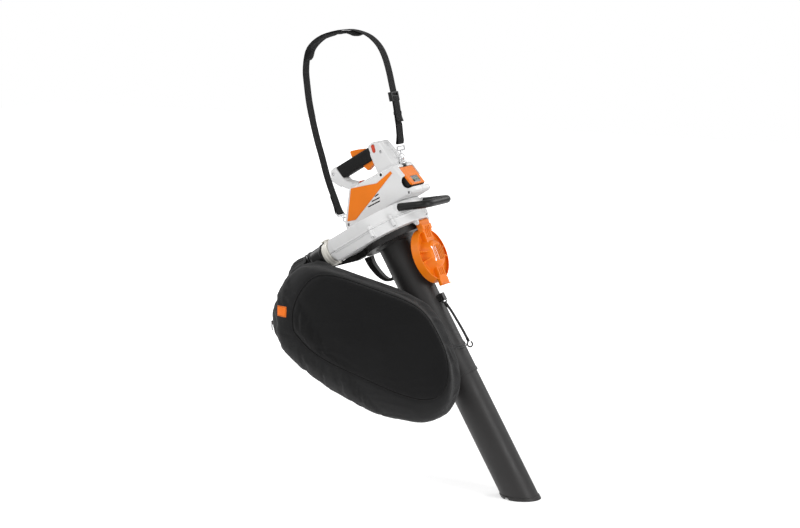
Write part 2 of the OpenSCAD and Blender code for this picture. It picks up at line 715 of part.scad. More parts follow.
module lock_slider() {
    color(red) tilted() slider_place() {
        block([-8, -5, -4], [6, 5, 2.5]);
        for (k = [0 : 2]) block([-6 + 4 * k, -5, 2], [-4 + 4 * k, 5, 3.6]);
    }
}
module control_board() {
    color([0.1, 0.35, 0.2]) tilted() {
        block([-50, -34, w0 + 76], [-48, 34, w0 + 132]);
        block([-47.9, -28, w0 + 84], [-40, -4, w0 + 100]);
        block([-47.9, 4, w0 + 84], [-42, 28, w0 + 96]);
        for (y = [-20, 0, 20]) translate([-47.9, y, w0 + 116]) rotate([0, 90, 0]) cylinder(r = 5, h = 8);
    }
}
module motor_cable() {
    color(red) tilted() for (y = [-12, 0, 12]) {
        translate([-44, y, w0 + 106]) cylinder(r = 1.6, h = 1.5, $fn = 24);
        translate([-44, y, w0 + 107]) rotate([0, 90, 0]) cylinder(r = 1.6, h = 7.8, $fn = 24);
    }
}
module contact_block() {
    color(black) tilted() battery_frame() {
        block([-pack_l - 8, -20, -12], [-pack_l - 0.8, 20, 12]);
        for (y = [-12, 0, 12]) block([-pack_l - 1, y - 0.6, -8], [-pack_l + 7, y + 0.6, 8]);
    }
}

// ---------- battery ----------

module battery_case() {
    a = pack_w / 2;
    b = pack_h / 2;
    color(black) tilted() battery_frame() difference() {
        union() {
            block([-pack_l, -a + 2, -b], [-4, a - 2, b - 4]);
            block([-pack_l, -a, -b + 3], [-4, a, b - 9]);
            block([-pack_l, -a + 12, b - 6], [-4, a - 12, b]);
        }
        for (y = [-12, 0, 12]) block([-pack_l - 1, y - 1, -9], [-pack_l + 8, y + 1, 9]);
        // groove that the latch's tooth runs in, closed at the front
        block([-pack_l - 1, -8, b - 3.5], [-11, 8, b + 1]);
        // hollow for the cells
        block([-pack_l + 12, -a + 6, -b + 4], [-12, a - 6, b - 10]);
    }
}
module battery_face() {
    a = pack_w / 2;
    b = pack_h / 2;
    color(orange) tilted() battery_frame() difference() {
        union() {
            block([-4 + gap, -a + 3, -b + 1], [0, a - 3, b - 1]);
            block([-4 + gap, -a, -b + 4], [-1.5, a, b - 4]);
        }
        block([-1.5, -16, -25], [1, 22, -2]);
        bar_x_hole(-10, -18, 4.4);
    }
}
module bar_x_hole(y, z, r) { translate([-3.5, y, z]) rotate([0, 90, 0]) cylinder(r = r, h = 10, $fn = 32); }
module charge_lens() {
    color([0.2, 0.7, 0.3]) tilted() battery_frame() difference() {
        union() {
            block([-1.45, -15.9, -24.9], [-0.5, 21.9, -2.1]);
            for (k = [0 : 3]) block([-0.6, -2 + 6 * k, -20], [-0.1, 2 + 6 * k, -14]);
        }
        bar_x_hole(-10, -18, 4.4);
    }
}
module charge_button() {
    color([0.2, 0.2, 0.25]) tilted() battery_frame()
        translate([-1.7, -10, -18]) rotate([0, 90, 0]) cylinder(r = 4, h = 2.4, $fn = 32);
}
module battery_latch() {
    x = latch_axis[0];
    z = latch_axis[1];
    color(black) tilted() battery_frame() difference() {
        union() {
            bar_y([x, z], 4, -9, 9);
            block([x, -7, z - 3], [-12, 7, z + 1]);
            block([-17, -7, pack_h / 2 - 3], [-12, 7, z + 1]);
            block([-12.5, -8, z - 2], [-1, 8, z + 2]);
        }
        bar_y([x, z], 1.5 + run, -20, 20, $fn = 32);
    }
}

// ---------- loop handle ----------

module loop_place() {
    translate([loop_root(0)[0], 0, loop_root(0)[2]]) rotate([0, loop_drop, 0]) children();
}
module loop_handle() {
    r = loop_rod_d / 2;
    h = loop_w / 2;
    corner = 30;
    reach = 92;
    lap = 0.5;
    color(black) tilted() difference() {
        loop_place() {
            for (s = [-1, 1]) {
                translate([5.4, s * h, 0]) rotate([0, 90, 0]) cylinder(r = r, h = reach - corner - 5.4 + lap);
                translate([reach - corner, s * (h - corner), 0]) rotate([0, 0, s < 0 ? -90 : 0])
                    rotate_extrude(angle = 90) translate([corner, 0]) circle(r = r - 0.1);
            }
            translate([reach, -h + corner - lap, 0]) rotate([-90, 0, 0])
                cylinder(r = r, h = 2 * (h - corner + lap));
        }
        loop_place() for (s = [-1, 1]) translate([-10, s * h, 0]) rotate([0, 90, 0])
            cylinder(r = 3.1, h = 60, $fn = 24);
        // the arms end just off the volute's round wall
        translate([volute_c[0], volute_c[1], seam_w]) cylinder(r = volute_r + 0.3, h = volute_h, $fn = 128);
    }
}
module loop_bolts() {
    color(steel) tilted() loop_place() for (s = [-1, 1])
        translate([-8, s * loop_w / 2, 0]) rotate([0, 90, 0]) cylinder(r = 3, h = 52, $fn = 24);
}

// ---------- strap ----------

function stance(p) = [p[0] * cos(lean) - p[1] * sin(lean), p[0] * sin(lean) + p[1] * cos(lean)];
rear_eye = stance(strap_lugs[0]);
front_eye = stance(strap_lugs[1]);
rear_turn = -48;            // lean of each strap hook from vertical
front_turn = -8.5;
hook_top = 50;              // eyelet pin to the webbing's end
hook_end = function(eye, turn) eye + hook_top * [sin(turn), cos(turn)];
strap_line = concat([hook_end(rear_eye, rear_turn)],
    [[-603, 790], [-628, 848], [-655, 935], [-682, 1029], [-698, 1111], [-702, 1179], [-688, 1232],
    [-642, 1268], [-569, 1286], [-507, 1278], [-468, 1254], [-441, 1216], [-421, 1153], [-407, 1092],
    [-396, 1028]], [hook_end(front_eye, front_turn)]);
pad_line = [[-700, 1195], [-688, 1232], [-642, 1268], [-569, 1286], [-507, 1278]];
adjuster_at = [-411, 1104];

module strap_webbing() {
    color(black) plate(ribbon(curve(strap_line, 4), -web_t / 2, web_t / 2), -web_w / 2, web_w / 2);
}
module shoulder_pad() {
    path = curve(pad_line, 6);
    color(black) plate(ribbon(path, -web_t / 2 - 0.6, -web_t / 2 - 5.6), -web_w / 2 - 5, web_w / 2 + 5);
}
module strap_adjuster() {
    half = web_w / 2;
    color(black) translate([adjuster_at[0], 0, adjuster_at[1]]) rotate([0, -13, 0]) difference() {
        block([-5.5, -half - 3, -13], [5.5, half + 3, 13]);
        block([-3.5, -half - 1, -20], [3.5, half + 1, 20]);
        for (z = [-9, 2]) block([-7, -half + 3, z], [7, half - 3, z + 7]);
    }
}

// Places an eyelet or a hook at a pin, with its height along the line to the strap
module hook_place(eye, turn) { translate([eye[0], 0, eye[1]]) rotate([0, turn, 0]) children(); }
wire = 1.8;
eyelet_h = 16;
hook_ring_r = 8;
hook_ring_z = eyelet_h + 3.6;
// Wire loop round a pin across the tool
module wire_loop() {
    half = 11.2;
    translate([0, -half - 2, 0]) rotate([-90, 0, 0]) cylinder(r = wire, h = 2 * half + 4, $fn = 32);
    translate([0, -half, eyelet_h]) rotate([-90, 0, 0]) cylinder(r = wire, h = 2 * half, $fn = 32);
    for (s = [-1, 1]) translate([0, s * half, 0]) {
        cylinder(r = wire, h = eyelet_h, $fn = 32);
        translate([0, 0, eyelet_h]) sphere(r = wire, $fn = 32);
    }
}
module front_eyelet() { color(steel) hook_place(front_eye, front_turn) wire_loop(); }
module rear_eyelet() { color(steel) hook_place(rear_eye, rear_turn) wire_loop(); }
// Part of the hook's ring, between two angles from the forward side
module ring_arc(a0, a1, r) {
    translate([0, 0, hook_ring_z]) rotate([90, 0, 0]) rotate([0, 0, a0])
        rotate_extrude(angle = a1 - a0) translate([hook_ring_r, 0]) circle(r = r, $fn = 32);
}
gate_from = -5;
gate_to = 40;
module snap_hook() {
    half = web_w / 2;
    ring_arc(gate_to + 7, 360 + gate_from - 14, 2);
    translate([0, 0, hook_ring_z + hook_ring_r]) cylinder(r = 2.2, h = 9, $fn = 32);
    translate([0, 0, hook_ring_z + hook_ring_r + 2]) cylinder(r = 4, h = 6, $fn = 32);
    difference() {
        block([-1.8, -half - 4, hook_top - 14.5], [1.8, half + 4, hook_top - 1]);
        block([-3, -half - 0.6, hook_top - 11], [3, half + 0.6, hook_top - 4]);
    }
}
module front_hook() { color(steel) hook_place(front_eye, front_turn) snap_hook(); }
module rear_hook() { color(steel) hook_place(rear_eye, rear_turn) snap_hook(); }
module front_gate() { color(steel) hook_place(front_eye, front_turn) ring_arc(gate_from, gate_to, 1.7); }
module rear_gate() { color(steel) hook_place(rear_eye, rear_turn) ring_arc(gate_from, gate_to, 1.7); }

// ---------- catcher bag ----------

bag_y = -166;       // middle of the bag, clear of the tube
bag_outline = [[-612, 640], [-687, 552], [-714, 484], [-706, 425], [-655, 364], [-524, 292], [-432, 254],
    [-341, 233], [-200, 226], [-150, 245], [-118, 295], [-120, 390], [-166, 483], [-215, 550], [-300, 580],
    [-480, 619]];
bag_shoulder = [[-612, 640], [-687, 552], [-650, 480], [-560, 560], [-540, 615]];
// How far the outline draws in at each share of the bag's half depth
bag_layers = [[0, 0], [0.45, 5], [0.78, 24], [1, 64]];
module bag_layer(pts, y, inset) {
    translate([0, y, 0]) rotate([90, 0, 0]) linear_extrude(height = 0.5) offset(delta = -inset) polygon(pts);
}
module bag_body(i) {
    half = bag_depth / 2 - i;
    hull() for (q = bag_layers, s = [-1, 1]) bag_layer(bag_outline, bag_y + s * half * q[0], q[1] + i);
}
module bag_neck() {
    hull() {
        for (s = [-1, 1]) bag_layer(bag_shoulder, bag_y + s * 45, 16);
        tilted() elbow_end() translate([0, 0, 14]) cylinder(r = 37, h = 2, $fn = 48);
    }
}
module catcher_bag() {
    color(black) difference() {
        union() {
            difference() {
                union() {
                    bag_body(0);
                    bag_neck();
                }
                // room for the elbow and its band
                tilted() elbow_end() translate([0, 0, -90]) cylinder(r = 39.4, h = 103.3);
                tilted() translate([outlet_u, duct_y, outlet_w]) rotate([0, -90, 0])
                    cylinder(r = 39, h = 22.4 + elbow_run + 6);
            }
            tilted() elbow_end() translate([0, 0, 5]) cylinder(r = 35.9, h = 12);
        }
        bag_body(bag_cloth);
        // throat from the elbow into the bag
        tilted() elbow_end() translate([0, 0, -10]) cylinder(r = 34.8, h = 26);
        tilted() elbow_end() cylinder(r = 32, h = 95);
    }
}
zip_line = [[-704, 512], [-714, 484], [-712, 452], [-706, 425], [-692, 405]];
zip_out = 2;
module bag_zip() {
    color(red) plate(ribbon(curve(zip_line, 4), -zip_out, -zip_out - 1.6), bag_y - 6, bag_y + 6);
}
zip_grip = [-712.6, 455];
module zip_slider() {
    color(steel) translate([zip_grip[0] - zip_out - 2.1, bag_y, zip_grip[1]]) rotate([0, -6, 0]) {
        block([-2.5, -4.5, -6], [0, 4.5, 6]);
        block([-4, -2.5, -22], [-2.5, 2.5, -2]);
    }
}

// ---------- retention cord ----------

module rod(a, b, r) {
    d = b - a;
    translate(a) rotate([0, acos(d[2] / norm(d)), atan2(d[1], d[0])]) cylinder(r = r, h = norm(d), $fn = 24);
}
module cord_through(p, r) {
    for (i = [0 : len(p) - 2]) {
        rod(p[i], p[i + 1], r);
        translate(p[i]) sphere(r = r + 0.12, $fn = 24);
    }
}
cord_pin = stance([cord_u, cord_w]);
cord_turn = 152;
cord_top = cord_pin + (eyelet_h + 4.8) * [sin(cord_turn), cos(cord_turn)];
cord_end = [-175, 438];
module retention_cord() {
    c = [for (p = curve([cord_top, [-228, 514], [-206, 484], [-187, 457], cord_end], 2)) [p[0], 0, p[1]]];
    color(black) cord_through(c, 2.6);
}
module cord_hooks() {
    color(black) {
        hook_place(cord_pin, cord_turn) wire_loop();
        translate([cord_end[0], 0, cord_end[1]]) rotate([0, 150, 0]) {
            translate([0, 0, 1]) cylinder(r = 4.2, h = 12, $fn = 32);
            translate([0, 0, 21]) rotate([90, 0, 0]) rotate([0, 0, -80])
                rotate_extrude(angle = 300) translate([8, 0]) circle(r = 2, $fn = 32);
        }
    }
}

lower_tube();
upper_tube();
volute_lower();
volute_upper();
volute_screws();
outlet_ring();
outlet_latch();
discharge_elbow();
bag_band();
intake_guard();
guard_hinge_pin();
motor_mount();
motor_can();
stator();
rotor();
motor_shaft();
lower_bearing();
upper_bearing();
impeller();
shredder_blade();
impeller_nut();
housing_right();
housing_left();
housing_screws();
side_panel_right();
side_panel_left();
grip_cover();
trigger();
trigger_pin();
trigger_spring();
lockout_lever();
lockout_pin();
trigger_switch();
setting_button();
lock_slider();
control_board();
motor_cable();
contact_block();
battery_case();
battery_face();
charge_lens();
charge_button();
battery_latch();
loop_handle();
loop_bolts();
front_eyelet();
rear_eyelet();
front_hook();
front_gate();
rear_hook();
rear_gate();
strap_webbing();
shoulder_pad();
strap_adjuster();
catcher_bag();
bag_zip();
zip_slider();
retention_cord();
cord_hooks();
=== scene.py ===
import json
import math

import bmesh
import bpy
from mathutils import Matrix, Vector, noise
from mathutils.bvhtree import BVHTree
from mathutils.kdtree import KDTree


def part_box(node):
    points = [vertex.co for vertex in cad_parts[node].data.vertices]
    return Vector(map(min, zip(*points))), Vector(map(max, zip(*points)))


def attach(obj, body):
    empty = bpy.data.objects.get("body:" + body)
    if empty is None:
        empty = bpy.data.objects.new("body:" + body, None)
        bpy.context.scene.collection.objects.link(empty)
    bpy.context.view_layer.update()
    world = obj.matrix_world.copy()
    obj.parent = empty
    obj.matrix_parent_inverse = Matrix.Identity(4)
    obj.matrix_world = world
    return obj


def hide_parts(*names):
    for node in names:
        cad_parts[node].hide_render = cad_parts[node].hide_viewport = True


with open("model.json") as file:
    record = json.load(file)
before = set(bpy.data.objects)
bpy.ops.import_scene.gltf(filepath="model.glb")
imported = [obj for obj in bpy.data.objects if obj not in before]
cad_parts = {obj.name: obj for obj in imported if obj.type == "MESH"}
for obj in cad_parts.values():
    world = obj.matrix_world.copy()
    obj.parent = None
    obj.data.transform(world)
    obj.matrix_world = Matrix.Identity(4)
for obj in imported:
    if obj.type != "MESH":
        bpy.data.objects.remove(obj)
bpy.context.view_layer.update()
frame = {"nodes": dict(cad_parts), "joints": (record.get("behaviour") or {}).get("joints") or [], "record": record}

# ---- the tool's own axes
# W runs up the suction tube, U runs forward across it, and Y runs across the tool.
SPIN = next(j for j in frame["joints"] if j["name"] == "impeller_spin")
W = Vector(SPIN["axis"]).normalized()
Y = Vector((0, 1, 0))
U = Y.cross(W).normalized()
INLET = Vector(SPIN["pos_m"]).dot(W) - 0.040        # height of the fan inlet along the tube
MM = 0.001
BODY = "machine"

# The camera: where it looks, from which side, how steeply and from how far
AZIMUTH, ELEVATION, DISTANCE = math.radians(30), math.radians(9.5), 6.0
LOOK_AT = Vector((-0.3909, 0.0, 0.62825))
LEVEL = math.cos(ELEVATION)
VIEW = Vector((-math.sin(AZIMUTH) * LEVEL, math.cos(AZIMUTH) * LEVEL, -math.sin(ELEVATION)))


def tool(u, y, w):
    """Point in the row frame from the tool's own axes in mm, with w counted from the fan inlet."""
    return U * (u * MM) + Y * (y * MM) + W * (INLET + w * MM)


def corners(node):
    """Lowest and highest corner of a CAD node's box."""
    return [Vector(corner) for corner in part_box(node)]


def middle(node):
    """Centre of a CAD node's box."""
    low, high = corners(node)
    return (low + high) / 2


# ---- node materials

class Shader:
    """Small builder for a Principled material whose detail is measured in metres."""

    def __init__(self, name):
        self.mat = bpy.data.materials.new(name)
        self.mat.use_nodes = True
        self.tree = self.mat.node_tree
        self.bsdf = self.tree.nodes["Principled BSDF"]
        self.coords = self.tree.nodes.new("ShaderNodeTexCoord").outputs["Object"]

    def feed(self, socket, value):
        """Links another node's output to a socket, or sets the socket's own value."""
        if hasattr(value, "is_output"):
            self.tree.links.new(value, socket)
        else:
            socket.default_value = value

    def node(self, kind, **inputs):
        made = self.tree.nodes.new(kind)
        for key, value in inputs.items():
            self.feed(made.inputs[key.replace("_", " ")], value)
        return made

    def noise(self, size, detail=3.0, stretch=(1, 1, 1)):
        """Noise whose blotches are about size metres wide."""
        mapping = self.node("ShaderNodeMapping", Vector=self.coords, Scale=stretch)
        made = self.node("ShaderNodeTexNoise", Vector=mapping.outputs[0], Scale=1 / size, Detail=detail)
        return made.outputs["Fac"]

    def ramp(self, value, low, high, out_low=0.0, out_high=1.0):
        made = self.node("ShaderNodeMapRange", Value=value, From_Min=low, From_Max=high, To_Min=out_low,
                         To_Max=out_high)
        return made.outputs[0]

    def math(self, operation, a, b=0.5):
        made = self.tree.nodes.new("ShaderNodeMath")
        made.operation = operation
        self.feed(made.inputs[0], a)
        self.feed(made.inputs[1], b)
        return made.outputs[0]

    def times(self, a, b):
        return self.math("MULTIPLY", a, b)

    def wave(self, value, length):
        """Sine wave of a given length in metres."""
        return self.math("SINE", self.times(value, 2 * math.pi / length))

    def mix(self, factor, a, b):
        made = self.tree.nodes.new("ShaderNodeMix")
        made.data_type = "RGBA"
        for index, value in ((0, factor), (6, a), (7, b)):
            self.feed(made.inputs[index], value)
        return made.outputs[2]

    def bump(self, height, distance, strength=1.0):
        """Adds a height in metres to the surface, on top of any bump already there."""
        made = self.node("ShaderNodeBump", Height=height, Strength=strength, Distance=distance)
        normal = self.bsdf.inputs["Normal"]
        if normal.is_linked:
            self.feed(made.inputs["Normal"], normal.links[0].from_socket)
        self.feed(normal, made.outputs[0])

    def set(self, **inputs):
        for key, value in inputs.items():
            self.feed(self.bsdf.inputs[key.replace("_", " ")], value)

    def edges(self):
        """About 1 on worn outer edges, and 0 elsewhere."""
        pointy = self.tree.nodes.new("ShaderNodeNewGeometry").outputs["Pointiness"]
        worn = self.ramp(pointy, 0.53, 0.62)
        return self.times(worn, self.ramp(self.noise(0.006), 0.35, 0.7))


def rgb(color, gain=1.0):
    return (*(c * gain for c in color), 1.0)


def moulded(name, color, rough=0.42, grain=0.0007, depth=0.00003, wear=0.25, worn=None, coat=0.0, shine=0.5):
    """Moulded plastic: fine spark-eroded grain, uneven sheen, faint grime and rubbed edges."""
    s = Shader(name)
    blotch = s.ramp(s.noise(0.07, 4), 0.3, 0.7)
    tint = s.mix(blotch, rgb(color, 0.955), rgb(color, 1.03))
    grime = s.ramp(s.noise(0.0025, 5), 0.56, 0.75)
    tint = s.mix(s.times(grime, 0.10), tint, rgb(color, 0.82))
    worn_color = worn or [min(1.0, c * 1.35 + 0.02) for c in color]
    tint = s.mix(s.times(s.edges(), wear), tint, rgb(worn_color))
    smear = s.noise(0.035, 4, stretch=(1, 1, 0.35))
    s.set(Base_Color=tint, Roughness=s.ramp(smear, 0.25, 0.75, rough - 0.07, rough + 0.09),
          Coat_Weight=coat, Coat_Roughness=0.25, Specular_IOR_Level=shine)
    s.bump(s.noise(grain, 2), depth, 0.6)
    s.bump(s.noise(0.03, 2), 0.00035, 0.25)
    return s.mat


def metal(name, color, rough=0.2, axis=(1, 1, 14)):
    """Plated or turned metal with fine directional brushing and dulled patches."""
    s = Shader(name)
    lines = s.noise(0.0015, 3, stretch=axis)
    dull = s.ramp(s.noise(0.008, 4), 0.45, 0.75)
    s.set(Metallic=1.0, Base_Color=s.mix(dull, rgb(color), rgb(color, 0.78)),
          Roughness=s.math("ADD", s.ramp(lines, 0.3, 0.7, rough - 0.05, rough + 0.08),
                           s.times(dull, 0.12)))
    s.bump(lines, 0.00002, 0.5)
    return s.mat


def cloth(name, color, pitch=0.0012, rough=0.85, sheen=0.25, fold=0.0012, depth=0.00022, dusty=1.5):
    """Woven bag cloth in object space: plain weave with a painted highlight on its raised threads, slubs lightened
    as dust, and soft creases.
    """
    s = Shader(name)
    parts = s.node("ShaderNodeSeparateXYZ", Vector=s.coords)
    wander = s.times(s.noise(0.03, 2), 0.004)
    across = s.math("ADD", s.math("ADD", parts.outputs[0], parts.outputs[1]), wander)
    along = s.math("ADD", parts.outputs[2], wander)
    threads = s.times(s.wave(across, pitch), s.wave(along, pitch))
    height = s.times(s.math("ADD", threads, 1.0), 0.5)
    slub = s.noise(0.004, 3, stretch=(1, 1, 7))
    tone = s.ramp(s.noise(0.12, 4), 0.3, 0.75)
    tint = s.mix(tone, rgb(color, 0.82), rgb(color, 1.2))
    # painted highlight: the raised threads of the weave are painted lighter
    tint = s.mix(s.times(height, 0.35), tint, rgb(color, 1.9))
    tint = s.mix(s.times(s.ramp(slub, 0.5, 0.8), 0.3), tint, rgb(color, dusty))
    s.set(Base_Color=tint, Roughness=s.ramp(slub, 0.3, 0.7, rough - 0.06, rough + 0.06),
          Sheen_Weight=sheen, Sheen_Roughness=0.45, Specular_IOR_Level=0.14)
    s.bump(height, depth, 0.7)
    s.bump(s.noise(0.028, 3, stretch=(1, 1, 1.6)), fold, 0.45)
    return s.mat


def ribbon_weave(name, color, thread=0.0016, rough=0.6):
    """Webbing: a diagonal twill from the ribbon's own UV in metres."""
    s = Shader(name)
    uv = s.tree.nodes.new("ShaderNodeUVMap").outputs[0]
    parts = s.node("ShaderNodeSeparateXYZ", Vector=uv)
    across, along = parts.outputs[0], parts.outputs[1]
    diagonal = s.math("ADD", across, s.math("PINGPONG", along, 0.006))
    twill = s.wave(diagonal, thread)
    rows = s.wave(along, thread * 0.8)
    height = s.math("ADD", s.times(twill, 0.35), s.times(rows, 0.25))
    fuzz = s.noise(0.0012, 3)
    # painted shade in the twill's grooves and painted highlight on its raised threads
    tint = s.mix(s.ramp(height, -0.5, 0.5), rgb(color, 0.6), rgb(color, 1.7))
    tint = s.mix(s.times(s.ramp(s.noise(0.05, 3), 0.4, 0.8), 0.3), tint, rgb(color, 1.6))
    s.set(Base_Color=tint, Roughness=s.ramp(fuzz, 0.3, 0.7, rough - 0.05, rough + 0.12),
          Sheen_Weight=0.03, Sheen_Roughness=0.4, Specular_IOR_Level=0.14)
    s.bump(height, 0.00025, 0.8)
    s.bump(fuzz, 0.0001, 0.5)
    return s.mat


def braid(name, color, pitch=0.0035):
    """Braided elastic: two crossing spirals in the cord's own UV (around, along in metres)."""
    s = Shader(name)
    parts = s.node("ShaderNodeSeparateXYZ", Vector=s.tree.nodes.new("ShaderNodeUVMap").outputs[0])
    turning = s.times(parts.outputs[0], 8 * math.pi)
    along = s.times(parts.outputs[1], 2 * math.pi / pitch)
    left = s.math("SINE", s.math("ADD", along, turning))
    right = s.math("SINE", s.math("SUBTRACT", along, turning))
    height = s.math("MAXIMUM", left, right)
    # painted shade between the strands and painted highlight on their crowns
    s.set(Base_Color=s.mix(s.ramp(height, -0.2, 1), rgb(color, 0.5), rgb(color, 2.0)), Roughness=0.7,
          Sheen_Weight=0.3)
    s.bump(height, 0.0004, 0.8)
    return s.mat


PLASTICS = {
    "white_plastic": dict(
        color=(0.66, 0.66, 0.66), rough=0.36, depth=0.00002, wear=0.12, worn=(0.9, 0.9, 0.9), coat=0.1),
    "tube_plastic": dict(
        color=(0.015, 0.0138, 0.0138), rough=0.46, grain=0.0011, depth=0.00007, wear=0.5,
        worn=(0.06, 0.06, 0.058), shine=0.45),
    "cream_plastic": dict(color=(0.68, 0.66, 0.60), rough=0.40, wear=0.15),
    "black_plastic": dict(
        color=(0.006, 0.006, 0.006), rough=0.40, wear=0.4, worn=(0.04, 0.04, 0.04), shine=0.28),
    "orange_plastic": dict(
        color=(0.76, 0.175, 0.0), rough=0.42, depth=0.00002, wear=0.15, worn=(0.85, 0.26, 0.02), shine=0.3),
    "red_plastic": dict(color=(0.52, 0.045, 0.015), rough=0.32, wear=0.2),
    "grip_rubber": dict(
        color=(0.005, 0.005, 0.005), rough=0.68, grain=0.0005, depth=0.00009, wear=0.3,
        worn=(0.035, 0.035, 0.035), shine=0.25),
    "impeller_plastic": dict(color=(0.03, 0.03, 0.032), rough=0.5),
    "board": dict(color=(0.015, 0.11, 0.05), rough=0.35),
    "cable": dict(color=(0.5, 0.04, 0.02), rough=0.45),
    "lens": dict(color=(0.045, 0.05, 0.055), rough=0.15, coat=0.6),
    "thread": dict(color=(0.014, 0.014, 0.014), rough=0.75, grain=0.0002, depth=0.00005, shine=0.2),
    "led": dict(color=(0.05, 0.55, 0.10), rough=0.2, coat=0.5),
}
METALS = {
    "bright_steel": dict(color=(0.74, 0.74, 0.75), rough=0.18),
    "motor_metal": dict(color=(0.42, 0.42, 0.44), rough=0.35, axis=(14, 14, 1)),
    "copper": dict(color=(0.62, 0.27, 0.12), rough=0.3, axis=(1, 1, 20)),
}
CLOTHS = {
    "bag_fabric": dict(color=(0.0052, 0.0052, 0.0054), pitch=0.0014, sheen=0.05),
    "bag_side": dict(color=(0.0095, 0.0095, 0.0098), pitch=0.0022, rough=0.8, sheen=0.07, depth=0.0004),
    "pad_fabric": dict(color=(0.005, 0.005, 0.0053), pitch=0.0018, sheen=0.05, depth=0.0004, fold=0.0006),
    "patch": dict(color=(0.72, 0.15, 0.012), rough=0.7, sheen=0.1, fold=0.0003, dusty=1.1),
}
RIBBONS = {
    "webbing": dict(color=(0.0032, 0.0032, 0.0034)),
    "binding": dict(color=(0.006, 0.006, 0.006), thread=0.0012),
    "zip_tape": dict(color=(0.55, 0.06, 0.02), thread=0.001),
}
CORDS = {"cord": dict(color=(0.010, 0.010, 0.011))}
MATS = {}
for make, looks in ((moulded, PLASTICS), (metal, METALS), (cloth, CLOTHS), (ribbon_weave, RIBBONS),
                    (braid, CORDS)):
    for material, look in looks.items():
        MATS[material] = make(material, **look)

# ---- carried-over CAD nodes

SLOT_OF = {part["node"]: part["material_slot"] for part in frame["record"]["subparts"]}
SHELLS = {                     # moulded shells: voxel size in metres, and smoothing passes
    "housing_right": (0.0011, 6), "housing_left": (0.0011, 6), "volute_lower": (0.0013, 5),
    "volute_upper": (0.0013, 5), "intake_guard": (0.0011, 4), "discharge_elbow": (0.0013, 4),
    "outlet_ring": (0.0010, 3),
}
SMALL_EDGE = 0.0003
EDGE = 0.0007
THIN = 0.012                   # a node thinner than this gets the small edge


def smooth(mesh):
    for poly in mesh.polygons:
        poly.use_smooth = True


def shade(obj):
    """Smooth shading over the whole node, without the normals it came with."""
    mesh = obj.data
    if "custom_normal" in mesh.attributes:
        mesh.attributes.remove(mesh.attributes["custom_normal"])
    smooth(mesh)


def add(obj, kind, **settings):
    made = obj.modifiers.new(kind.lower(), kind)
    for key, value in settings.items():
        setattr(made, key, value)
    return made


def soften(obj, width):
    """Real rounded edges on a CAD solid."""
    add(obj, "BEVEL", width=width, segments=2, limit_method="ANGLE", angle_limit=math.radians(34),
        harden_normals=True, use_clamp_overlap=True, miter_outer="MITER_ARC")
    add(obj, "WEIGHTED_NORMAL", keep_sharp=False, weight=60)


def melt(obj, voxel, passes):
    """Turns a CAD shell into an even moulded skin with small fillets."""
    add(obj, "REMESH", mode="VOXEL", voxel_size=voxel, use_smooth_shade=True)
    add(obj, "CORRECTIVE_SMOOTH", factor=0.5, iterations=passes, smooth_type="LENGTH_WEIGHTED",
        use_only_smooth=True)


def finish_cad():
    """Gives each CAD node its material, and rounded edges or a moulded skin."""
    for name, obj in frame["nodes"].items():
        obj.data.materials.clear()
        obj.data.materials.append(MATS[SLOT_OF[name]])
        shade(obj)
        add(obj, "WELD", merge_threshold=1e-6)
        if name in SHELLS:
            melt(obj, *SHELLS[name])
        elif name in SHELLS:
            soften(obj, SMALL_EDGE)
        else:
            low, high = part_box(name)
            soften(obj, SMALL_EDGE if min(high - low) < THIN else EDGE)


# ---- mesh helpers

def put(name, data):
    """New object in the scene."""
    obj = bpy.data.objects.new(name, data)
    bpy.context.scene.collection.objects.link(obj)
    return obj


def piece(name, verts, faces, material, body=BODY, slot=None):
    """New smooth object that keeps its body and its slot in mind until it is settled."""
    mesh = bpy.data.meshes.new(name)
    mesh.from_pydata([tuple(v) for v in verts], [], faces)
    mesh.validate()
    obj = put(name, mesh)
    mesh.materials.append(MATS[material])
    smooth(mesh)
    obj["home_body"] = body
    obj["home_slot"] = slot or material
    return obj


def settle(obj, *replaced):
    """Puts a finished piece on its body and hides the CAD nodes it stands for."""
    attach(obj, obj["home_body"])
    if replaced:
        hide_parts(*replaced)
    return obj


def apply_modifiers(obj):
    graph = bpy.context.evaluated_depsgraph_get()
    mesh = bpy.data.meshes.new_from_object(obj.evaluated_get(graph))
    old = obj.data
    obj.modifiers.clear()
    obj.data = mesh
    bpy.data.meshes.remove(old)


def spline(points, steps, closed=False):
    """Catmull-Rom curve through the points."""
    last = len(points) - 1
    out = []
    for i in range(last + 1 if closed else last):
        near = [(i + k) % (last + 1) if closed else min(max(i + k, 0), last) for k in (-1, 0, 1, 2)]
        a, b, c, d = (points[k] for k in near)
        for k in range(steps):
            t = k / steps
            out.append(0.5 * (2 * b + (c - a) * t + (2 * a - 5 * b + 4 * c - d) * t * t
                              + (3 * b - a - 3 * c + d) * t ** 3))
    if not closed:
        out.append(points[-1].copy())
    return out


def resample(path, step):
    """The same path with points every step metres."""
    lengths = [0.0]
    for a, b in zip(path, path[1:]):
        lengths.append(lengths[-1] + (b - a).length)
    count = max(2, round(lengths[-1] / step))
    out, i = [], 0
    for k in range(count + 1):
        goal = lengths[-1] * k / count
        while i < len(path) - 2 and lengths[i + 1] < goal:
            i += 1
        span = lengths[i + 1] - lengths[i] or 1e-9
        out.append(path[i].lerp(path[i + 1], min(1.0, (goal - lengths[i]) / span)))
    return out


def frames(path, up):
    """(tangent, side, normal) at each point, with side as near to up as can be."""
    out = []
    for i in range(len(path)):
        tangent = (path[min(i + 1, len(path) - 1)] - path[max(i - 1, 0)]).normalized()
        side = (up - tangent * up.dot(tangent)).normalized()
        out.append((tangent, side, tangent.cross(side)))
    return out


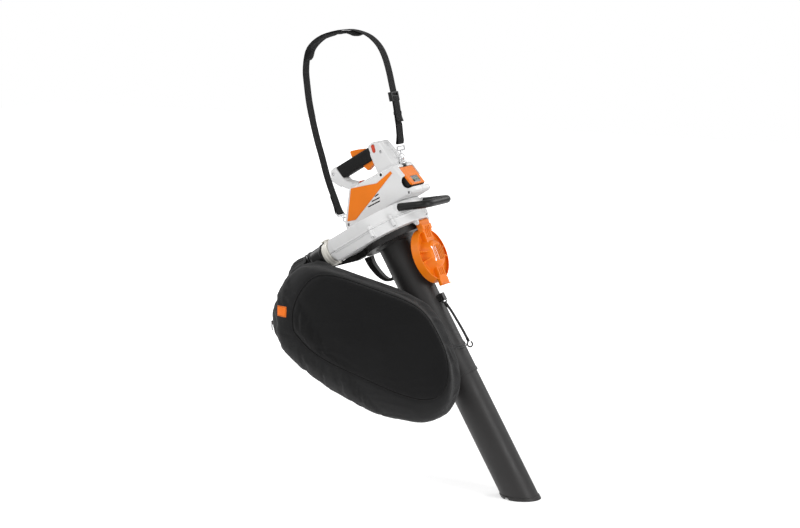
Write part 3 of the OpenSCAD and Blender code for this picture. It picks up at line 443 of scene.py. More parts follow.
def sweep(name, path, section, material, up=Y, body=BODY, slot=None, closed=False):
    """Sweeps a closed section, a list of (side, normal) pairs, along a path, with UVs in metres."""
    axes = frames(path, up)
    count = len(section)
    verts = []
    for p, (_, side, normal) in zip(path, axes):
        verts += [p + side * a + normal * b for a, b in section]
    rows = len(path)
    faces = []
    for i in range(rows if closed else rows - 1):
        j = (i + 1) % rows
        faces += [(i * count + k, i * count + (k + 1) % count, j * count + (k + 1) % count, j * count + k)
                  for k in range(count)]
    if not closed:
        faces.append(tuple(reversed(range(count))))
        faces.append(tuple((rows - 1) * count + k for k in range(count)))
    obj = piece(name, verts, faces, material, body, slot)
    along = [0.0]
    for a, b in zip(path, path[1:]):
        along.append(along[-1] + (b - a).length)
    round_section = max(abs(a) for a, _ in section) < 0.004
    uv = obj.data.uv_layers.new(name="UVMap")
    for poly in obj.data.polygons:
        for loop, vert in zip(poly.loop_indices, poly.vertices):
            row, k = divmod(vert, count)
            across = k / count if round_section else section[k][0]
            uv.data[loop].uv = (across, along[min(row, rows - 1)])
    return obj


def around(centre, a, b, radius, count):
    """Points round a circle in the plane of a and b."""
    turns = (2 * math.pi * k / count for k in range(count))
    return [centre + (a * math.cos(t) + b * math.sin(t)) * radius for t in turns]


def circle(radius, sides):
    return [(radius * math.cos(2 * math.pi * k / sides), radius * math.sin(2 * math.pi * k / sides))
            for k in range(sides)]


def flat_section(width, thick, crown=0.0):
    """Rounded flat section of a webbing, with an optional crowned face."""
    r = thick / 2
    corner = 4
    out = []
    for s in (1, -1):
        for k in range(corner + 1):
            angle = -math.pi / 2 + math.pi * k / corner
            out.append((s * (width / 2 - r + r * math.cos(angle)), s * r * math.sin(angle)))
        steps = 6
        for k in range(1, steps):
            x = s * (width / 2 - r) * (1 - 2 * k / steps)
            out.append((x, s * (r + crown * (1 - (2 * x / width) ** 2))))
    return out


def revolve(name, origin, axis, profile, material, body=BODY, slot=None, sides=48):
    """Turned piece from (radius, height) pairs, in metres, about an axis."""
    axis = axis.normalized()
    a = axis.orthogonal().normalized()
    b = axis.cross(a)
    verts = []
    for r, h in profile:
        verts += around(origin + axis * h, a, b, r, sides)
    rows = len(profile)
    faces = [(i * sides + k, i * sides + (k + 1) % sides, (i + 1) % rows * sides + (k + 1) % sides,
              (i + 1) % rows * sides + k) for i in range(rows) for k in range(sides)]
    return piece(name, verts, faces, material, body, slot)


def slab(rows, cols):
    """Faces of two stacked grids of rows by cols points, joined round their rim, and that rim."""
    shift = rows * cols
    faces = []
    for i in range(rows - 1):
        for k in range(cols - 1):
            a = i * cols + k
            faces.append((a, a + 1, a + cols + 1, a + cols))
            faces.append((shift + a, shift + a + cols, shift + a + cols + 1, shift + a + 1))
    rim = list(range(cols)) + [i * cols + cols - 1 for i in range(1, rows)]
    rim += [(rows - 1) * cols + k for k in range(cols - 2, -1, -1)]
    rim += [i * cols for i in range(rows - 2, 0, -1)]
    faces += [(a, shift + a, shift + b, b) for a, b in zip(rim, rim[1:] + rim[:1])]
    return faces, rim


def skin_of(obj):
    """Search tree over the final surface of an object."""
    return BVHTree.FromObject(obj, bpy.context.evaluated_depsgraph_get())


# ---- catcher bag

BAG_HALF = 0.105                    # half the filled bag's depth
BAG_FULL = 2.8                      # how boxy its section is
SEAM_T = 0.67                       # share of the half depth where the panels are sewn on
BEND = math.radians(12)             # bend of the discharge elbow
NECK_DIR = -(U * math.cos(BEND) + W * math.sin(BEND))
RINGS, SPOKES, NECK_SPOKES = 40, 96, 48
TUBE_SIDE = -0.058                  # the bag is pressed flat here, where it lies against the tube
NECK_START, NECK_END = 0.004, 0.085         # stretch of the neck that is gathered in pleats
STITCH_LENGTH, STITCH_PITCH, STITCH_THICK = 0.0032, 0.0058, 0.0005


def bag_frame():
    """Middle of the bag, where its near panel is centred, and the neck's ring on the elbow."""
    low = corners("catcher_bag")[0]
    middle_at = Vector((low.x + 0.300, low.y + BAG_HALF, low.z + 0.205))
    near_at = middle_at + Vector((0.140, 0, 0.045))
    return middle_at, near_at, middle("bag_band")


def bag_outline(centre):
    """Outline of the CAD bag in its middle plane, as smoothed radii round the centre."""
    tree = skin_of(frame["nodes"]["catcher_bag"])
    radii = []
    for k in range(SPOKES):
        angle = 2 * math.pi * k / SPOKES
        ray = Vector((math.cos(angle), 0, math.sin(angle)))
        hit = tree.ray_cast(centre + ray, -ray)[0]
        radii.append((hit - centre).length)
    kernel = [math.exp(-0.5 * (j / 2.2) ** 2) for j in range(-6, 7)]
    total = sum(kernel)
    return [sum(w * radii[(k + j) % SPOKES] for j, w in zip(range(-6, 7), kernel)) / total
            for k in range(SPOKES)]


def bag_point(radii, k, t):
    """Point of the bag's skin at spoke k and at t from -1 (near) to 1 (far) through its depth."""
    centre, near_at, _ = BAG
    scale = max(0.0, 1 - abs(t) ** BAG_FULL) ** (1 / BAG_FULL)
    angle = 2 * math.pi * k / SPOKES
    mid = centre.lerp(near_at, t * t if t < 0 else -0.05 * t * t)
    return mid + Vector((math.cos(angle), 0, math.sin(angle))) * radii[k % SPOKES] * scale \
        + Vector((0, BAG_HALF * t, 0))


def bridge(bm, rows):
    """Quads between neighbouring closed rows of vertices, and a cap at either end."""
    for a, b in zip(rows, rows[1:]):
        for k in range(len(a)):
            after = (k + 1) % len(a)
            bm.faces.new((a[k], a[after], b[after], b[k]))
    bm.faces.new(tuple(rows[0][::-1]))
    bm.faces.new(tuple(rows[-1]))


def bag_seed(radii):
    """Plain closed form of the filled bag with its neck, before it is remeshed."""
    bm = bmesh.new()
    levels = [math.sin(math.pi / 2 * (2 * r / RINGS - 1)) for r in range(1, RINGS)]
    rows = [[bm.verts.new(bag_point(radii, k, t)) for k in range(SPOKES)] for t in levels]
    bridge(bm, rows)
    centre, _, neck = BAG
    into = Vector((centre.x - 0.165, centre.y + 0.02, centre.z + 0.135))
    path = [neck - NECK_DIR * 0.012, neck, neck + NECK_DIR * 0.012,
            neck + NECK_DIR * 0.05 + Vector((0.0, -0.012, 0)), into.lerp(neck, 0.25), into]
    radius = [0.0362, 0.0362, 0.0366, 0.046, 0.062, 0.075]
    steps = 6
    path = spline(path, steps)
    loops = []
    for i, (p, (_, side, normal)) in enumerate(zip(path, frames(path, Y))):
        share = i / steps
        r0 = radius[min(int(share), 5)]
        r1 = radius[min(int(share) + 1, 5)]
        r = r0 + (r1 - r0) * (share - int(share))
        loop = []
        for k in range(NECK_SPOKES):
            angle = 2 * math.pi * k / NECK_SPOKES
            pleat = 1 + 0.03 * math.cos(11 * angle) * min(1.0, max(0.0, share - 1.6))
            loop.append(bm.verts.new(p + (side * math.cos(angle) + normal * math.sin(angle)) * r * pleat))
        loops.append(loop)
    bridge(bm, loops)
    bmesh.ops.recalc_face_normals(bm, faces=bm.faces)
    mesh = bpy.data.meshes.new("bag_seed")
    bm.to_mesh(mesh)
    bm.free()
    return mesh


def seam_depth(angle):
    """Share of the half depth where a panel is sewn on: the gusset is widest along the base."""
    return SEAM_T + 0.17 * max(0.0, -math.sin(angle)) ** 0.7


def seam_ring(radii, side):
    """Closed line round the bag where its near (-1) or far (1) panel meets the gusset."""
    ring = [bag_point(radii, k, side * seam_depth(2 * math.pi * k / SPOKES)) for k in range(SPOKES)]
    return resample(spline(ring, 4, closed=True) + [ring[0]], 0.005)[:-1]


def stick(tree, points, lift=0.0):
    """The same points moved on to a skin, and lifted off it."""
    out = []
    for p in points:
        at, normal, _, _ = tree.find_nearest(p)
        out.append(at + normal * lift)
    return out


def near_curve(points):
    """Search tree over the points of a line."""
    tree = KDTree(len(points))
    for i, p in enumerate(points):
        tree.insert(p, i)
    tree.balance()
    return tree


def crease(p):
    """Soft folds of slack cloth: long waves that run down from the neck and along the base."""
    wave = noise.noise(Vector((p.x * 6, p.y * 8, p.z * 10)))
    ridge = 1 - abs(noise.noise(Vector((p.x * 7 + 3, p.y * 15, p.z * 20 + 5)))) * 2
    gusset = max(0.25, 1 - abs(p.y - BAG[0].y) / (BAG_HALF * 0.8))
    return wave * 0.0030 + max(0.0, ridge - 0.5) * 0.0075 * gusset


def bag_mesh(radii, seams):
    """Even mesh of the filled bag, creased, with its seams, neck and zip pinned for the simulation."""
    obj = put("catcher_bag_skin", bag_seed(radii))
    add(obj, "REMESH", mode="VOXEL", voxel_size=0.006)
    add(obj, "SMOOTH", factor=0.5, iterations=6)
    apply_modifiers(obj)
    mesh = obj.data
    tree = near_curve(seams)
    pins = obj.vertex_groups.new(name="sewn")
    neck = BAG[2]
    for v in mesh.vertices:
        gap = tree.find(v.co)[2]
        along = (v.co - neck).dot(NECK_DIR)
        held = max(0.0, 1 - gap / 0.016, 1 - max(0.0, along - 0.02) / 0.02 if along < 0.04 else 0.0)
        held = max(held, 1 - (v.co - ZIP_AT).length / 0.07)
        if held > 0:
            pins.add([v.index], min(1.0, held), "REPLACE")
    mesh.update()
    for v in mesh.vertices:
        gap = tree.find(v.co)[2]
        v.co += v.normal * crease(v.co) * min(1.0, gap / 0.03)
    return obj


def inflate(obj, frames_run, pressure, slack, cap):
    """Cloth simulation of a closed skin, with the result applied and each point's travel capped."""
    before = [v.co.copy() for v in obj.data.vertices]
    cloth_mod = obj.modifiers.new("cloth", "CLOTH")
    s = cloth_mod.settings
    s.quality = 6
    s.mass = 0.25
    s.tension_stiffness = s.compression_stiffness = 12
    s.shear_stiffness = 6
    s.bending_stiffness = 0.6
    s.shrink_min = s.shrink_max = -slack
    s.use_pressure = True
    s.uniform_pressure_force = pressure
    s.vertex_group_mass = "sewn"
    s.pin_stiffness = 1.0
    s.effector_weights.gravity = 0
    cloth_mod.collision_settings.use_collision = False
    cloth_mod.point_cache.frame_end = frames_run + 1
    scene = bpy.context.scene
    for number in range(1, frames_run + 1):
        scene.frame_set(number)
    apply_modifiers(obj)
    scene.frame_set(1)
    for v, old in zip(obj.data.vertices, before):
        step = v.co - old
        if step.length > cap:
            v.co = old + step * (cap / step.length)


def gather_neck(bm, neck):
    """Pleats round the neck, where the cord draws it in, and an open end over the elbow."""
    axis_a = NECK_DIR.cross(Y).normalized()
    axis_b = NECK_DIR.cross(axis_a)
    for v in bm.verts:
        away = v.co - neck
        along = away.dot(NECK_DIR)
        if NECK_START < along < NECK_END and away.length < 0.12:
            out = (away - NECK_DIR * along).normalized()
            angle = math.atan2(out.dot(axis_b), out.dot(axis_a))
            pleat = math.cos(15 * angle + 2 * math.sin(3 * angle)) * 0.0016
            v.co += out * pleat * min(1.0, (along - NECK_START) / 0.012) * min(1.0, (NECK_END - along) / 0.05)
    loose = [v for v in bm.verts if (v.co - neck).dot(NECK_DIR) < -0.003 and (v.co - neck).length < 0.06]
    bmesh.ops.delete(bm, geom=loose, context="VERTS")


def build_bag():
    """The filled bag with its panels, piping and stitching. Gives the search tree of its skin."""
    centre, _, neck = BAG
    radii = bag_outline(centre)
    near, far = (seam_ring(radii, s) for s in (-1, 1))
    obj = bag_mesh(radii, near + far)
    inflate(obj, 18, 3.0, 0.02, 0.011)
    tree = near_curve(near + far)
    mesh = obj.data
    mesh.update()
    for v in mesh.vertices:
        gap = tree.find(v.co)[2]
        v.co -= v.normal * 0.0032 * math.exp(-(gap / 0.007) ** 2)
        if v.co.y > TUBE_SIDE and (v.co - neck).length > 0.12:
            v.co.y = TUBE_SIDE + (v.co.y - TUBE_SIDE) * 0.1
    bm = bmesh.new()
    bm.from_mesh(mesh)
    gather_neck(bm, neck)
    bm.to_mesh(mesh)
    bm.free()
    add(obj, "SUBSURF", levels=1, render_levels=1)
    apply_modifiers(obj)
    mesh = obj.data
    mesh.materials.clear()
    for name in ("bag_side", "bag_fabric"):
        mesh.materials.append(MATS[name])
    smooth(mesh)
    for poly in mesh.polygons:
        t = (poly.center.y - centre.y) / BAG_HALF
        away = poly.center - centre.lerp(BAG[1], t * t if t < 0 else -0.05 * t * t)
        panel = abs(t) > seam_depth(math.atan2(away.z, away.x)) and (poly.center - neck).length > 0.11
        poly.material_index = 1 if panel else 0
    obj["home_body"], obj["home_slot"] = BODY, "bag_fabric"
    settle(obj, "catcher_bag")
    skin = skin_of(obj)
    for side, ring in (("near", near), ("far", far)):
        line = stick(skin, ring, 0.0006)
        line.append(line[0])
        settle(sweep("bag_piping_" + side, line, circle(0.0019, 8), "binding", slot="bag_fabric"))
        settle(stitches("bag_stitching_" + side, skin, ring, 0.0062, centre))
    return skin


def stitches(name, skin, path, inset, centre):
    """A row of short raised threads beside a closed path on the bag's skin."""
    line = resample(path + [path[0]], STITCH_PITCH)
    verts, faces = [], []
    for a, b in zip(line, line[1:]):
        along = (b - a).normalized()
        inward = centre - a
        inward = (inward - along * inward.dot(along)).normalized()
        at, normal, _, _ = skin.find_nearest(a + inward * inset)
        side = normal.cross(along).normalized()
        add_stitch(verts, faces, at, along, side, normal, STITCH_LENGTH, STITCH_THICK)
    return piece(name, verts, faces, "thread", slot="bag_fabric")


def add_stitch(verts, faces, at, along, side, normal, length, thick):
    """One arched thread: five rings of four points, sunk at both ends."""
    base = len(verts)
    for k in range(5):
        x = (k / 4 - 0.5) * length
        lift = thick * 1.1 * (1 - (k / 2 - 1) ** 2) - thick * 0.3
        w = thick * (0.55 + 0.45 * (1 - (k / 2 - 1) ** 2))
        mid = at + along * x + normal * lift
        verts += [mid + side * w, mid + normal * w, mid - side * w, mid - normal * w]
    for k in range(4):
        a, b = base + 4 * k, base + 4 * k + 4
        faces += [(a + j, a + (j + 1) % 4, b + (j + 1) % 4, b + j) for j in range(4)]
    faces.append((base + 3, base + 2, base + 1, base))
    faces.append((base + 16, base + 17, base + 18, base + 19))


BAG = bag_frame()
ZIP_AT = middle("bag_zip")

# ---- strap

SPAN = 1.2                          # farther out than any part of the strap
ARCH = Vector((-0.55, 0, 1.0))      # a point inside the strap's arch


def ribbon_middle(node):
    """Centreline of a CAD ribbon bent round the arch's inside, from its lowest rear end."""
    tree = skin_of(frame["nodes"][node])
    out = []
    steps = 720
    for k in range(steps):
        angle = math.radians(262 - 300 * k / steps)
        ray = Vector((math.cos(angle), 0, math.sin(angle)))
        inner = tree.ray_cast(ARCH, ray)[0]
        outer = tree.ray_cast(ARCH + ray * SPAN, -ray)[0]
        if inner and outer:
            out.append((inner + outer) / 2)
    return out


def turn_back(end, tangent, side_out, gap):
    """Half circle that carries a ribbon on past its end and back beside itself."""
    steps = 7
    centre = end + side_out * gap / 2
    return [centre - side_out * gap / 2 * math.cos(math.pi * k / steps)
            + tangent * gap / 2 * math.sin(math.pi * k / steps) for k in range(1, steps)]


def relax(path, amount):
    """Slight slackness along a ribbon: none at its ends."""
    axes = frames(path, Y)
    last = len(path) - 1
    out = []
    for i, (p, (_, side, normal)) in enumerate(zip(path, axes)):
        hold = min(1.0, 6 * i / last, 6 * (last - i) / last)
        wave = noise.noise(p * 7) + 0.4 * noise.noise(p * 19 + Vector((4, 0, 0)))
        sway = noise.noise(p * 4 + Vector((0, 9, 0)))
        out.append(p + normal * (amount * hold * wave) + side * (amount * 1.2 * hold * sway))
    return out


WEB_LOW, WEB_HIGH = corners("strap_webbing")
WEB_WIDTH = (WEB_HIGH - WEB_LOW).y
WEB_THICK = 0.0018
WEB_STEP = 0.006
FOLD = 0.0062                       # gap of the fold round a hook's bar
FOLD_LENGTH = 0.062
BOX_START, BOX_STOP = 0.026, 0.054          # the stitched box, from the strap's end
LOOSE_GAP = WEB_THICK + 0.0011      # from the strap's middle to the middle of the tail on it


def ribbon_stitches(name, path, offset):
    """A stitched box near the start of the strap's path, raised on one face."""
    pitch = 0.0036
    line = resample(path, pitch)
    axes = frames(line, Y)
    verts, faces = [], []
    for i, (p, (tangent, side, normal)) in enumerate(zip(line, axes)):
        out = normal if offset > 0 else -normal
        if BOX_START <= i * pitch <= BOX_STOP:
            for across in (-WEB_WIDTH * 0.38, WEB_WIDTH * 0.38):
                add_stitch(verts, faces, p + side * across + normal * offset, tangent, side, out,
                           pitch * 0.72, 0.00055)
        if min(abs(i * pitch - BOX_START), abs(i * pitch - BOX_STOP)) < pitch / 2:
            for j in range(-3, 4):
                add_stitch(verts, faces, p + side * (j * 0.0038) + normal * offset, side, tangent, out,
                           0.0028, 0.00055)
    settle(piece(name, verts, faces, "thread", slot="webbing"))


def shifted(run, normals, near, far):
    """A run of the strap moved off its centreline: by near at the hook, and by far further up."""
    out = []
    for i, (p, normal) in enumerate(zip(run, normals)):
        share = min(1.0, i / (len(run) * 0.45))
        share = share * share * (3 - 2 * share)
        out.append(p + normal * (near + (far - near) * share))
    return out


def build_strap():
    """Webbing folded back and stitched at both hooks, with its tail and keeper."""
    line = ribbon_middle("strap_webbing")
    reach = 0.0035                  # from the CAD ribbon's end to where it wraps the hook's bar
    line.insert(0, line[0] + (line[0] - line[4]).normalized() * reach)
    line.append(line[-1] + (line[-1] - line[-5]).normalized() * reach)
    line = relax(resample(line, WEB_STEP), 0.0022)
    fold = round(FOLD_LENGTH / WEB_STEP)
    head = (line[0] - line[1]).normalized()
    tail = (line[-1] - line[-2]).normalized()
    normals = [axis[2] for axis in frames(line, Y)]
    lap = WEB_THICK + 0.0004
    runs = (line[:fold], normals[:fold]), (line[-fold:][::-1], normals[-fold:][::-1])
    under_rear, under_front = (shifted(*run, -FOLD / 2, 0.0) for run in runs)
    over_rear, over_front = (shifted(*run, FOLD / 2, lap) for run in runs)
    line = under_rear + line[fold:-fold] + under_front[::-1]
    path = over_rear[::-1] + turn_back(under_rear[0], head, normals[0], FOLD)[::-1] + line
    path += turn_back(under_front[0], tail, normals[-1], FOLD) + over_front
    section = flat_section(WEB_WIDTH, WEB_THICK, 0.0001)
    settle(sweep("shoulder_webbing", path, section, "webbing"), "strap_webbing")
    lift = WEB_THICK * 1.5 + 0.0005
    ribbon_stitches("strap_stitching_rear", line, lift)
    ribbon_stitches("strap_stitching_front", line[::-1], -lift)
    build_tail(line)


def build_tail(line):
    """Loose tail below the adjuster and the elastic keeper round it. Both move with the adjuster."""
    eye = middle("strap_adjuster")
    start = min(range(len(line)), key=lambda i: (line[i] - eye).length)
    tail_line = line[start:min(start + 13, len(line) - 1)]
    loose = [p + normal * LOOSE_GAP for p, (_, _, normal) in zip(tail_line, frames(tail_line, Y))]
    for i, p in enumerate(loose):
        share = max(0.0, i / (len(loose) - 1) - 0.6) / 0.4
        loose[i] = p + (p - tail_line[i]).normalized() * 0.005 * share ** 2
    tail_section = flat_section(WEB_WIDTH * 0.97, WEB_THICK, 0.0001)
    settle(sweep("strap_tail", resample(loose, 0.004), tail_section, "webbing", body="adjuster"))
    keeper_at = start + 8
    ring_axes = frames(line, Y)[keeper_at]
    keeper = []
    for k in range(40):
        angle = 2 * math.pi * k / 40
        c, n = math.cos(angle), math.sin(angle)
        x = math.copysign(abs(c) ** 0.35, c) * (WEB_WIDTH / 2 + 0.0012)
        z = math.copysign(abs(n) ** 0.35, n) * (WEB_THICK + 0.0013) + LOOSE_GAP / 2
        keeper.append(line[keeper_at] + Y * x + ring_axes[2] * z)
    settle(sweep("strap_keeper", keeper, flat_section(0.009, 0.0011), "webbing", body="adjuster",
                 up=ring_axes[0], closed=True))


# ---- shoulder pad

PAD_HALF = 0.0040
PAD_STEP = 0.0028
QUILT = (0.2, 0.4, 0.6, 0.8)        # where the pad is sewn across, as shares of its length


def build_pad():
    """Filled pad sewn along its rim, inside the strap's arch."""
    low, high = corners("shoulder_pad")
    mid = resample(ribbon_middle("shoulder_pad"), PAD_STEP)
    axes = frames(mid, Y)
    half_width = (high.y - low.y) / 2
    across = 20
    rows = len(mid)
    top, bottom = [], []
    for i, (p, (_, side, normal)) in enumerate(zip(mid, axes)):
        share = i / (rows - 1)
        end = min(share, 1 - share) * (rows - 1) * PAD_STEP
        width = half_width * min(1.0, (1 - max(0.0, 1 - end / 0.016) ** 2.2)) ** 0.5 + 0.002
        swell = 0.62 + 0.75 * math.exp(-((end - 0.022) / 0.016) ** 2)
        for row, sign in ((top, 1), (bottom, -1)):
            for k in range(across + 1):
                x = 2 * k / across - 1
                rim = max(0.0, 1 - abs(x) ** 3.2) * min(1.0, end / 0.007)
                depth = PAD_HALF * swell * rim * (1.35 if sign < 0 else 0.45) + 0.0004
                row.append(p + side * (x * width) + normal * (sign * depth) - normal * 0.0012)
    count = across + 1
    verts = top + bottom
    shift = len(top)
    faces, rim = slab(rows, count)
    obj = piece("shoulder_pad_cover", verts, faces, "pad_fabric")
    held = obj.vertex_groups.new(name="sewn")
    for layer in (0, shift):
        for i in range(rows):
            for k in range(count):
                x = abs(2 * k / across - 1)
                edge = x > 0.88 or i < 2 or i > rows - 3
                line_gap = min(abs(i / (rows - 1) - q) for q in QUILT) * (rows - 1)
                weight = 1.0 if edge else max(0.0, 0.9 - line_gap * 0.6)
                if weight > 0:
                    held.add([layer + i * count + k], weight, "REPLACE")
    bm = bmesh.new()
    bm.from_mesh(obj.data)
    bmesh.ops.recalc_face_normals(bm, faces=bm.faces)
    bm.to_mesh(obj.data)
    bm.free()
    inflate(obj, 14, 4.0, 0.03, 0.0022)
    add(obj, "SUBSURF", levels=1, render_levels=1)
    apply_modifiers(obj)
    smooth(obj.data)
    settle(obj, "shoulder_pad")
    edge = [(verts[i] + verts[shift + i]) / 2 for i in rim + rim[:1]]
    tape = resample(edge, 0.003)
    settle(sweep("shoulder_pad_binding", tape, circle(0.0015, 10), "binding", slot="pad_fabric"))
    skin = skin_of(obj)
    verts, faces = [], []
    for q in QUILT:
        i = round(q * (rows - 1))
        tangent, side, normal = axes[i]
        for k in range(-8, 9):
            goal = mid[i] + side * (k * half_width * 0.1) - normal * 0.006
            at, face_normal, _, _ = skin.find_nearest(goal)
            add_stitch(verts, faces, at, side, tangent, face_normal, half_width * 0.07, 0.0005)
    settle(piece("shoulder_pad_quilting", verts, faces, "thread", slot="pad_fabric"))


# ---- cords

# Each thin cord round the tube: its height in mm at the front and at the back, and how far it is raised
CORD_LOOPS = ((-368, -284, 0.0), (-374, -318, 1.6))
TUBE_CORD_RADIUS = 1.2


def heights(low, high, inset, steps):
    """Even heights down a box, from inset below its top to inset above its foot."""
    return [high.z - inset - (high.z - low.z - 2 * inset) * k / steps for k in range(steps + 1)]


def cord_middle():
    """Centreline of the CAD retention cord, from its upper end."""
    tree = skin_of(frame["nodes"]["retention_cord"])
    low, high = corners("retention_cord")
    out = []
    for z in heights(low, high, 0.003, 60):
        left = tree.ray_cast(Vector((low.x - 0.1, 0, z)), Vector((1, 0, 0)))[0]
        right = tree.ray_cast(Vector((high.x + 0.1, 0, z)), Vector((-1, 0, 0)))[0]
        if left and right:
            out.append((left + right) / 2)
    return out


def tube_loop(w_front, w_back, radius):
    """Thin cord laid round the suction tube, lower at the front than at the back."""
    out = []
    steps = 96
    for k in range(steps):
        angle = 2 * math.pi * k / steps
        w = w_front + (w_back - w_front) * (1 - math.cos(angle)) / 2
        out.append(tool(radius * math.cos(angle), radius * math.sin(angle), w))
    return out


def build_cords():
    """The braided cord from its ferrule to its hook, and the thin cords round the tube."""
    line = resample(cord_middle(), 0.003)
    hooks = [v.co for v in frame["nodes"]["cord_hooks"].data.vertices if v.co.z < line[-1].z]
    peak = max(p.z for p in hooks)
    rim = [p for p in hooks if p.z > peak - 0.005]
    socket = sum(rim, Vector()) / len(rim)
    top = line[0]
    line = [top + (top - line[1]).normalized() * 0.004] + line[:-2]
    line += [line[-1].lerp(socket, k / 4) for k in range(1, 5)]
    line.append(socket + (socket - line[-2]).normalized() * 0.002)
    settle(sweep("retention_braid", line, circle(0.0037, 16), "cord"), "retention_cord")
    axis = (line[0] - line[1]).normalized()
    profile = [(0.0034, -0.010), (0.0045, -0.010), (0.0048, -0.007), (0.0048, 0.001), (0.0040, 0.003),
               (0.0034, 0.003)]
    settle(revolve("cord_ferrule", line[1], axis, profile, "black_plastic", slot="cord", sides=32))
    tube = skin_of(frame["nodes"]["upper_tube"])
    for number, (front, back, lift) in enumerate(CORD_LOOPS):
        outside = tool(0, 200, (front + back) / 2)
        wall = tube.ray_cast(outside, -Y)[0]
        radius = (wall - tool(0, 0, (front + back) / 2)).length / MM
        loop = tube_loop(front, back, radius + TUBE_CORD_RADIUS + lift)
        settle(sweep("tube_cord_%d" % number, loop, circle(0.0014, 8), "cord", up=W, closed=True))


# ---- bag fittings

def build_zip(skin):
    """Zip down the rear of the bag: tape, two rows of teeth and stitching."""
    low, high = corners("bag_zip")
    depth = (low.y + high.y) / 2
    half = (high.y - low.y) / 2
    line = []
    for z in heights(low, high, 0.002, 48):
        hit = skin.ray_cast(Vector((low.x - 0.1, depth, z)), Vector((1, 0, 0)))[0]
        if hit:
            line.append(hit)
    line = resample(line, 0.0024)
    smooth = [line[0]] + [(a + b * 2 + c) / 4 for a, b, c in zip(line, line[1:], line[2:])] + [line[-1]]
    outward = Vector((-1, 0, 0))
    raised = [p + outward * 0.0011 for p in smooth]
    settle(sweep("zip_tape", raised, flat_section(2 * half, 0.0012, 0.0002), "zip_tape"), "bag_zip")
    tooth = ((-0.0016, -0.0005), (0.0016, -0.0005), (0.0014, 0.0008), (-0.0014, 0.0008))
    verts, faces = [], []
    for p, (tangent, side, normal) in zip(raised, frames(raised, Y)):
        out = normal if normal.dot(outward) > 0 else -normal
        for s in (-1, 1):
            at = p + side * (s * 0.0011) + out * 0.0011 + tangent * (0.0006 * s)
            base = len(verts)
            for dz in (-0.00042, 0.00042):
                verts += [at + tangent * dz + side * a + out * b for a, b in tooth]
            faces += [(base + j, base + (j + 1) % 4, base + 4 + (j + 1) % 4, base + 4 + j) for j in range(4)]
            faces += [(base + 3, base + 2, base + 1, base), (base + 4, base + 5, base + 6, base + 7)]
    settle(piece("zip_teeth", verts, faces, "orange_plastic", slot="zip_tape"))
    verts, faces = [], []
    seam = resample(raised, 0.0042)
    for p, (tangent, side, normal) in zip(seam, frames(seam, Y)):
        out = normal if normal.dot(outward) > 0 else -normal
        for s in (-1, 1):
            add_stitch(verts, faces, p + side * (s * half * 0.78) + out * 0.0007, tangent, side, out,
                       0.0029, 0.00045)
    settle(piece("zip_stitching", verts, faces, "thread", slot="zip_tape"))


def build_patch(skin):
    """Plain woven patch sewn on the gusset beside the zip."""
    low, high = corners("bag_zip")
    centre = Vector((low.x + 0.056, low.y - 0.028, high.z - 0.014))
    centre, normal, _, _ = skin.ray_cast(centre - VIEW * 0.4, VIEW)
    side = Vector((0, 0, 1)).cross(normal).normalized()
    up = normal.cross(side).normalized()
    across, tall, cols, rows = 0.020, 0.015, 14, 10
    verts = []
    for layer in (0.0009, -0.0004):
        for j in range(rows + 1):
            for i in range(cols + 1):
                x, z = 2 * i / cols - 1, 2 * j / rows - 1
                goal = centre + side * (x * across) + up * (z * tall)
                at, face_normal, _, _ = skin.find_nearest(goal)
                rim = max(abs(x), abs(z))
                verts.append(at + face_normal * (layer * (1.0 if rim < 0.99 else 0.4)))
    faces = slab(rows + 1, cols + 1)[0]
    settle(piece("bag_patch", verts, faces, "patch", slot="bag_fabric"))
    verts, faces = [], []
    edge = [centre + side * (x * across * 0.88) + up * (z * tall * 0.84)
            for x, z in ((-1, -1), (1, -1), (1, 1), (-1, 1), (-1, -1))]
    path = resample(edge, 0.0027)
    for a, b in zip(path, path[1:]):
        at, face_normal, _, _ = skin.find_nearest((a + b) / 2)
        along = (b - a).normalized()
        add_stitch(verts, faces, at + face_normal * 0.0010, along, face_normal.cross(along), face_normal,
                   0.0019, 0.0004)
    settle(piece("bag_patch_stitching", verts, faces, "thread", slot="bag_fabric"))


def build_neck_cord(skin):
    """Thin cord that closes the bag's neck, with its loose loop hanging at the rear."""
    neck = BAG[2]
    tie = neck + NECK_DIR * 0.0105
    a = NECK_DIR.cross(Y).normalized()
    ring = around(tie, a, NECK_DIR.cross(a), 0.0392, 56)
    settle(sweep("neck_cord", ring, circle(0.0014, 8), "cord", up=NECK_DIR, closed=True))
    start = tie + (Vector((-0.2, -0.7, 0.55)).normalized()) * 0.040
    offsets = [(-0.030, -0.012, 0.004), (-0.062, -0.014, -0.022), (-0.083, -0.018, -0.052),
               (-0.090, -0.022, -0.078), (-0.083, -0.028, -0.102)]
    points = [start] + [neck + Vector(o) + Vector((0, -0.024, 0)) for o in offsets]
    at, normal, _, _ = skin.find_nearest(points[-1])
    points[-1] = at - normal * 0.001
    settle(sweep("neck_cord_loop", resample(spline(points, 10), 0.002), circle(0.0012, 8), "cord"))


def build_lights_panel():
    """Four charge lights in a row on the battery's panel."""
    axis = Vector(next(j for j in frame["joints"] if j["name"] == "battery_slide")["axis"]).normalized()
    low, high = corners("charge_lens")
    mid = (low + high) / 2
    reach = max((Vector((x, 0, z)) - Vector((mid.x, 0, mid.z))).dot(axis)
                for x in (low.x, high.x) for z in (low.z, high.z))
    tree = skin_of(frame["nodes"]["charge_lens"])
    profile = [(0.0, -0.0006), (0.0013, -0.0006), (0.0013, 0.0002), (0.0010, 0.0005), (0.0, 0.0006)]
    for k in range(4):
        place = mid + Y * ((high.y - low.y) * (-0.33 + 0.22 * k)) + axis * (reach + 0.01)
        hit = tree.ray_cast(place, -axis)[0]
        if hit:
            settle(revolve("charge_light_%d" % k, hit, axis, profile, "led", body="battery", slot="lens",
                           sides=16))


# ---- floor, light and camera

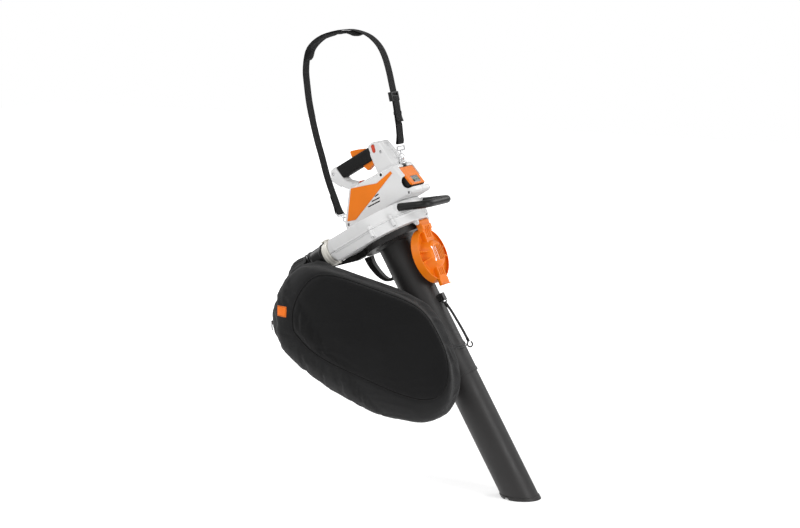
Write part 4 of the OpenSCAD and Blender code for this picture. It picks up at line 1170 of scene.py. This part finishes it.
LIT = Vector((-0.35, 0, 0.6))       # what the lights are aimed at


def build_stage():
    """Plain white floor, wide enough for a camera on any side."""
    glow_near, glow_far = 0.34, 1.0
    size, count = 9.0, 13           # metres from the middle to a side, and points along a side
    steps = [size * (2 * k / (count - 1) - 1) for k in range(count)]
    verts = [(x, y, 0.0) for y in steps for x in steps]
    corner = [j * count + i for j in range(count - 1) for i in range(count - 1)]
    faces = [(a, a + 1, a + count + 1, a + count) for a in corner]
    mesh = bpy.data.meshes.new("floor")
    mesh.from_pydata(verts, [], faces)
    floor = put("floor", mesh)
    s = Shader("floor_paper")
    # away from the part the floor fades into the white round it, for the eye only
    away = s.node("ShaderNodeVectorMath", Vector=s.coords)
    away.operation = "LENGTH"
    fade = s.ramp(away.outputs["Value"], 1.3, 3.2, 0.0, glow_far - glow_near)
    seen = s.node("ShaderNodeLightPath").outputs["Is Camera Ray"]
    glow = s.math("ADD", s.times(fade, seen), glow_near)
    blotch = s.ramp(s.noise(0.8, 2), 0.3, 0.7)
    s.set(Base_Color=s.mix(blotch, rgb((0.86, 0.86, 0.86)), rgb((0.90, 0.90, 0.90))),
          Roughness=0.9, Specular_IOR_Level=0.1, Emission_Color=rgb((1, 1, 1)), Emission_Strength=glow)
    mesh.materials.append(s.mat)
    smooth(mesh)


def area_light(name, place, size, power):
    """Soft rectangular light of a given power in watts, aimed at the object."""
    data = bpy.data.lights.new(name, "AREA")
    data.shape = "RECTANGLE"
    data.size, data.size_y = size
    data.energy = power
    lamp = put(name, data)
    lamp.location = place
    lamp.rotation_euler = (LIT - Vector(place)).to_track_quat("-Z", "Y").to_euler()


def build_light():
    """White paper all round for the eye, softer light on the object, and four area lights."""
    world = bpy.data.worlds.new("studio")
    world.use_nodes = True
    sky = world.node_tree.nodes["Background"]
    sky.inputs[0].default_value = (1, 1, 1, 1)
    seen = world.node_tree.nodes.new("ShaderNodeLightPath").outputs["Is Camera Ray"]
    level = world.node_tree.nodes.new("ShaderNodeMapRange")
    level.inputs["To Min"].default_value = 0.55
    level.inputs["To Max"].default_value = 1.0
    world.node_tree.links.new(seen, level.inputs["Value"])
    world.node_tree.links.new(level.outputs["Result"], sky.inputs[1])
    bpy.context.scene.world = world
    bpy.context.scene.view_settings.view_transform = "Standard"
    area_light("key", (-0.6, -2.6, 3.0), (2.2, 1.6), 44)
    area_light("fill_right", (3.0, -0.6, 1.4), (0.9, 2.6), 46)
    area_light("rim_left", (-2.8, 0.4, 1.8), (1.0, 2.2), 26)
    area_light("rim_back", (0.9, 2.4, 2.2), (1.6, 1.6), 26)


def build_camera():
    """Long lens at the photo's own angle."""
    data = bpy.data.cameras.new("camera")
    data.lens = 95.07
    data.sensor_width = 36
    eye = put("camera", data)
    eye.location = LOOK_AT - VIEW * DISTANCE
    eye.rotation_euler = VIEW.to_track_quat("-Z", "Y").to_euler()
    bpy.context.scene.camera = eye


# ---- run

finish_cad()
BAG_SKIN = build_bag()
build_strap()
build_pad()
build_cords()
build_zip(BAG_SKIN)
build_patch(BAG_SKIN)
build_neck_cord(BAG_SKIN)
build_lights_panel()
build_stage()
build_light()
build_camera()

bpy.context.view_layer.update()
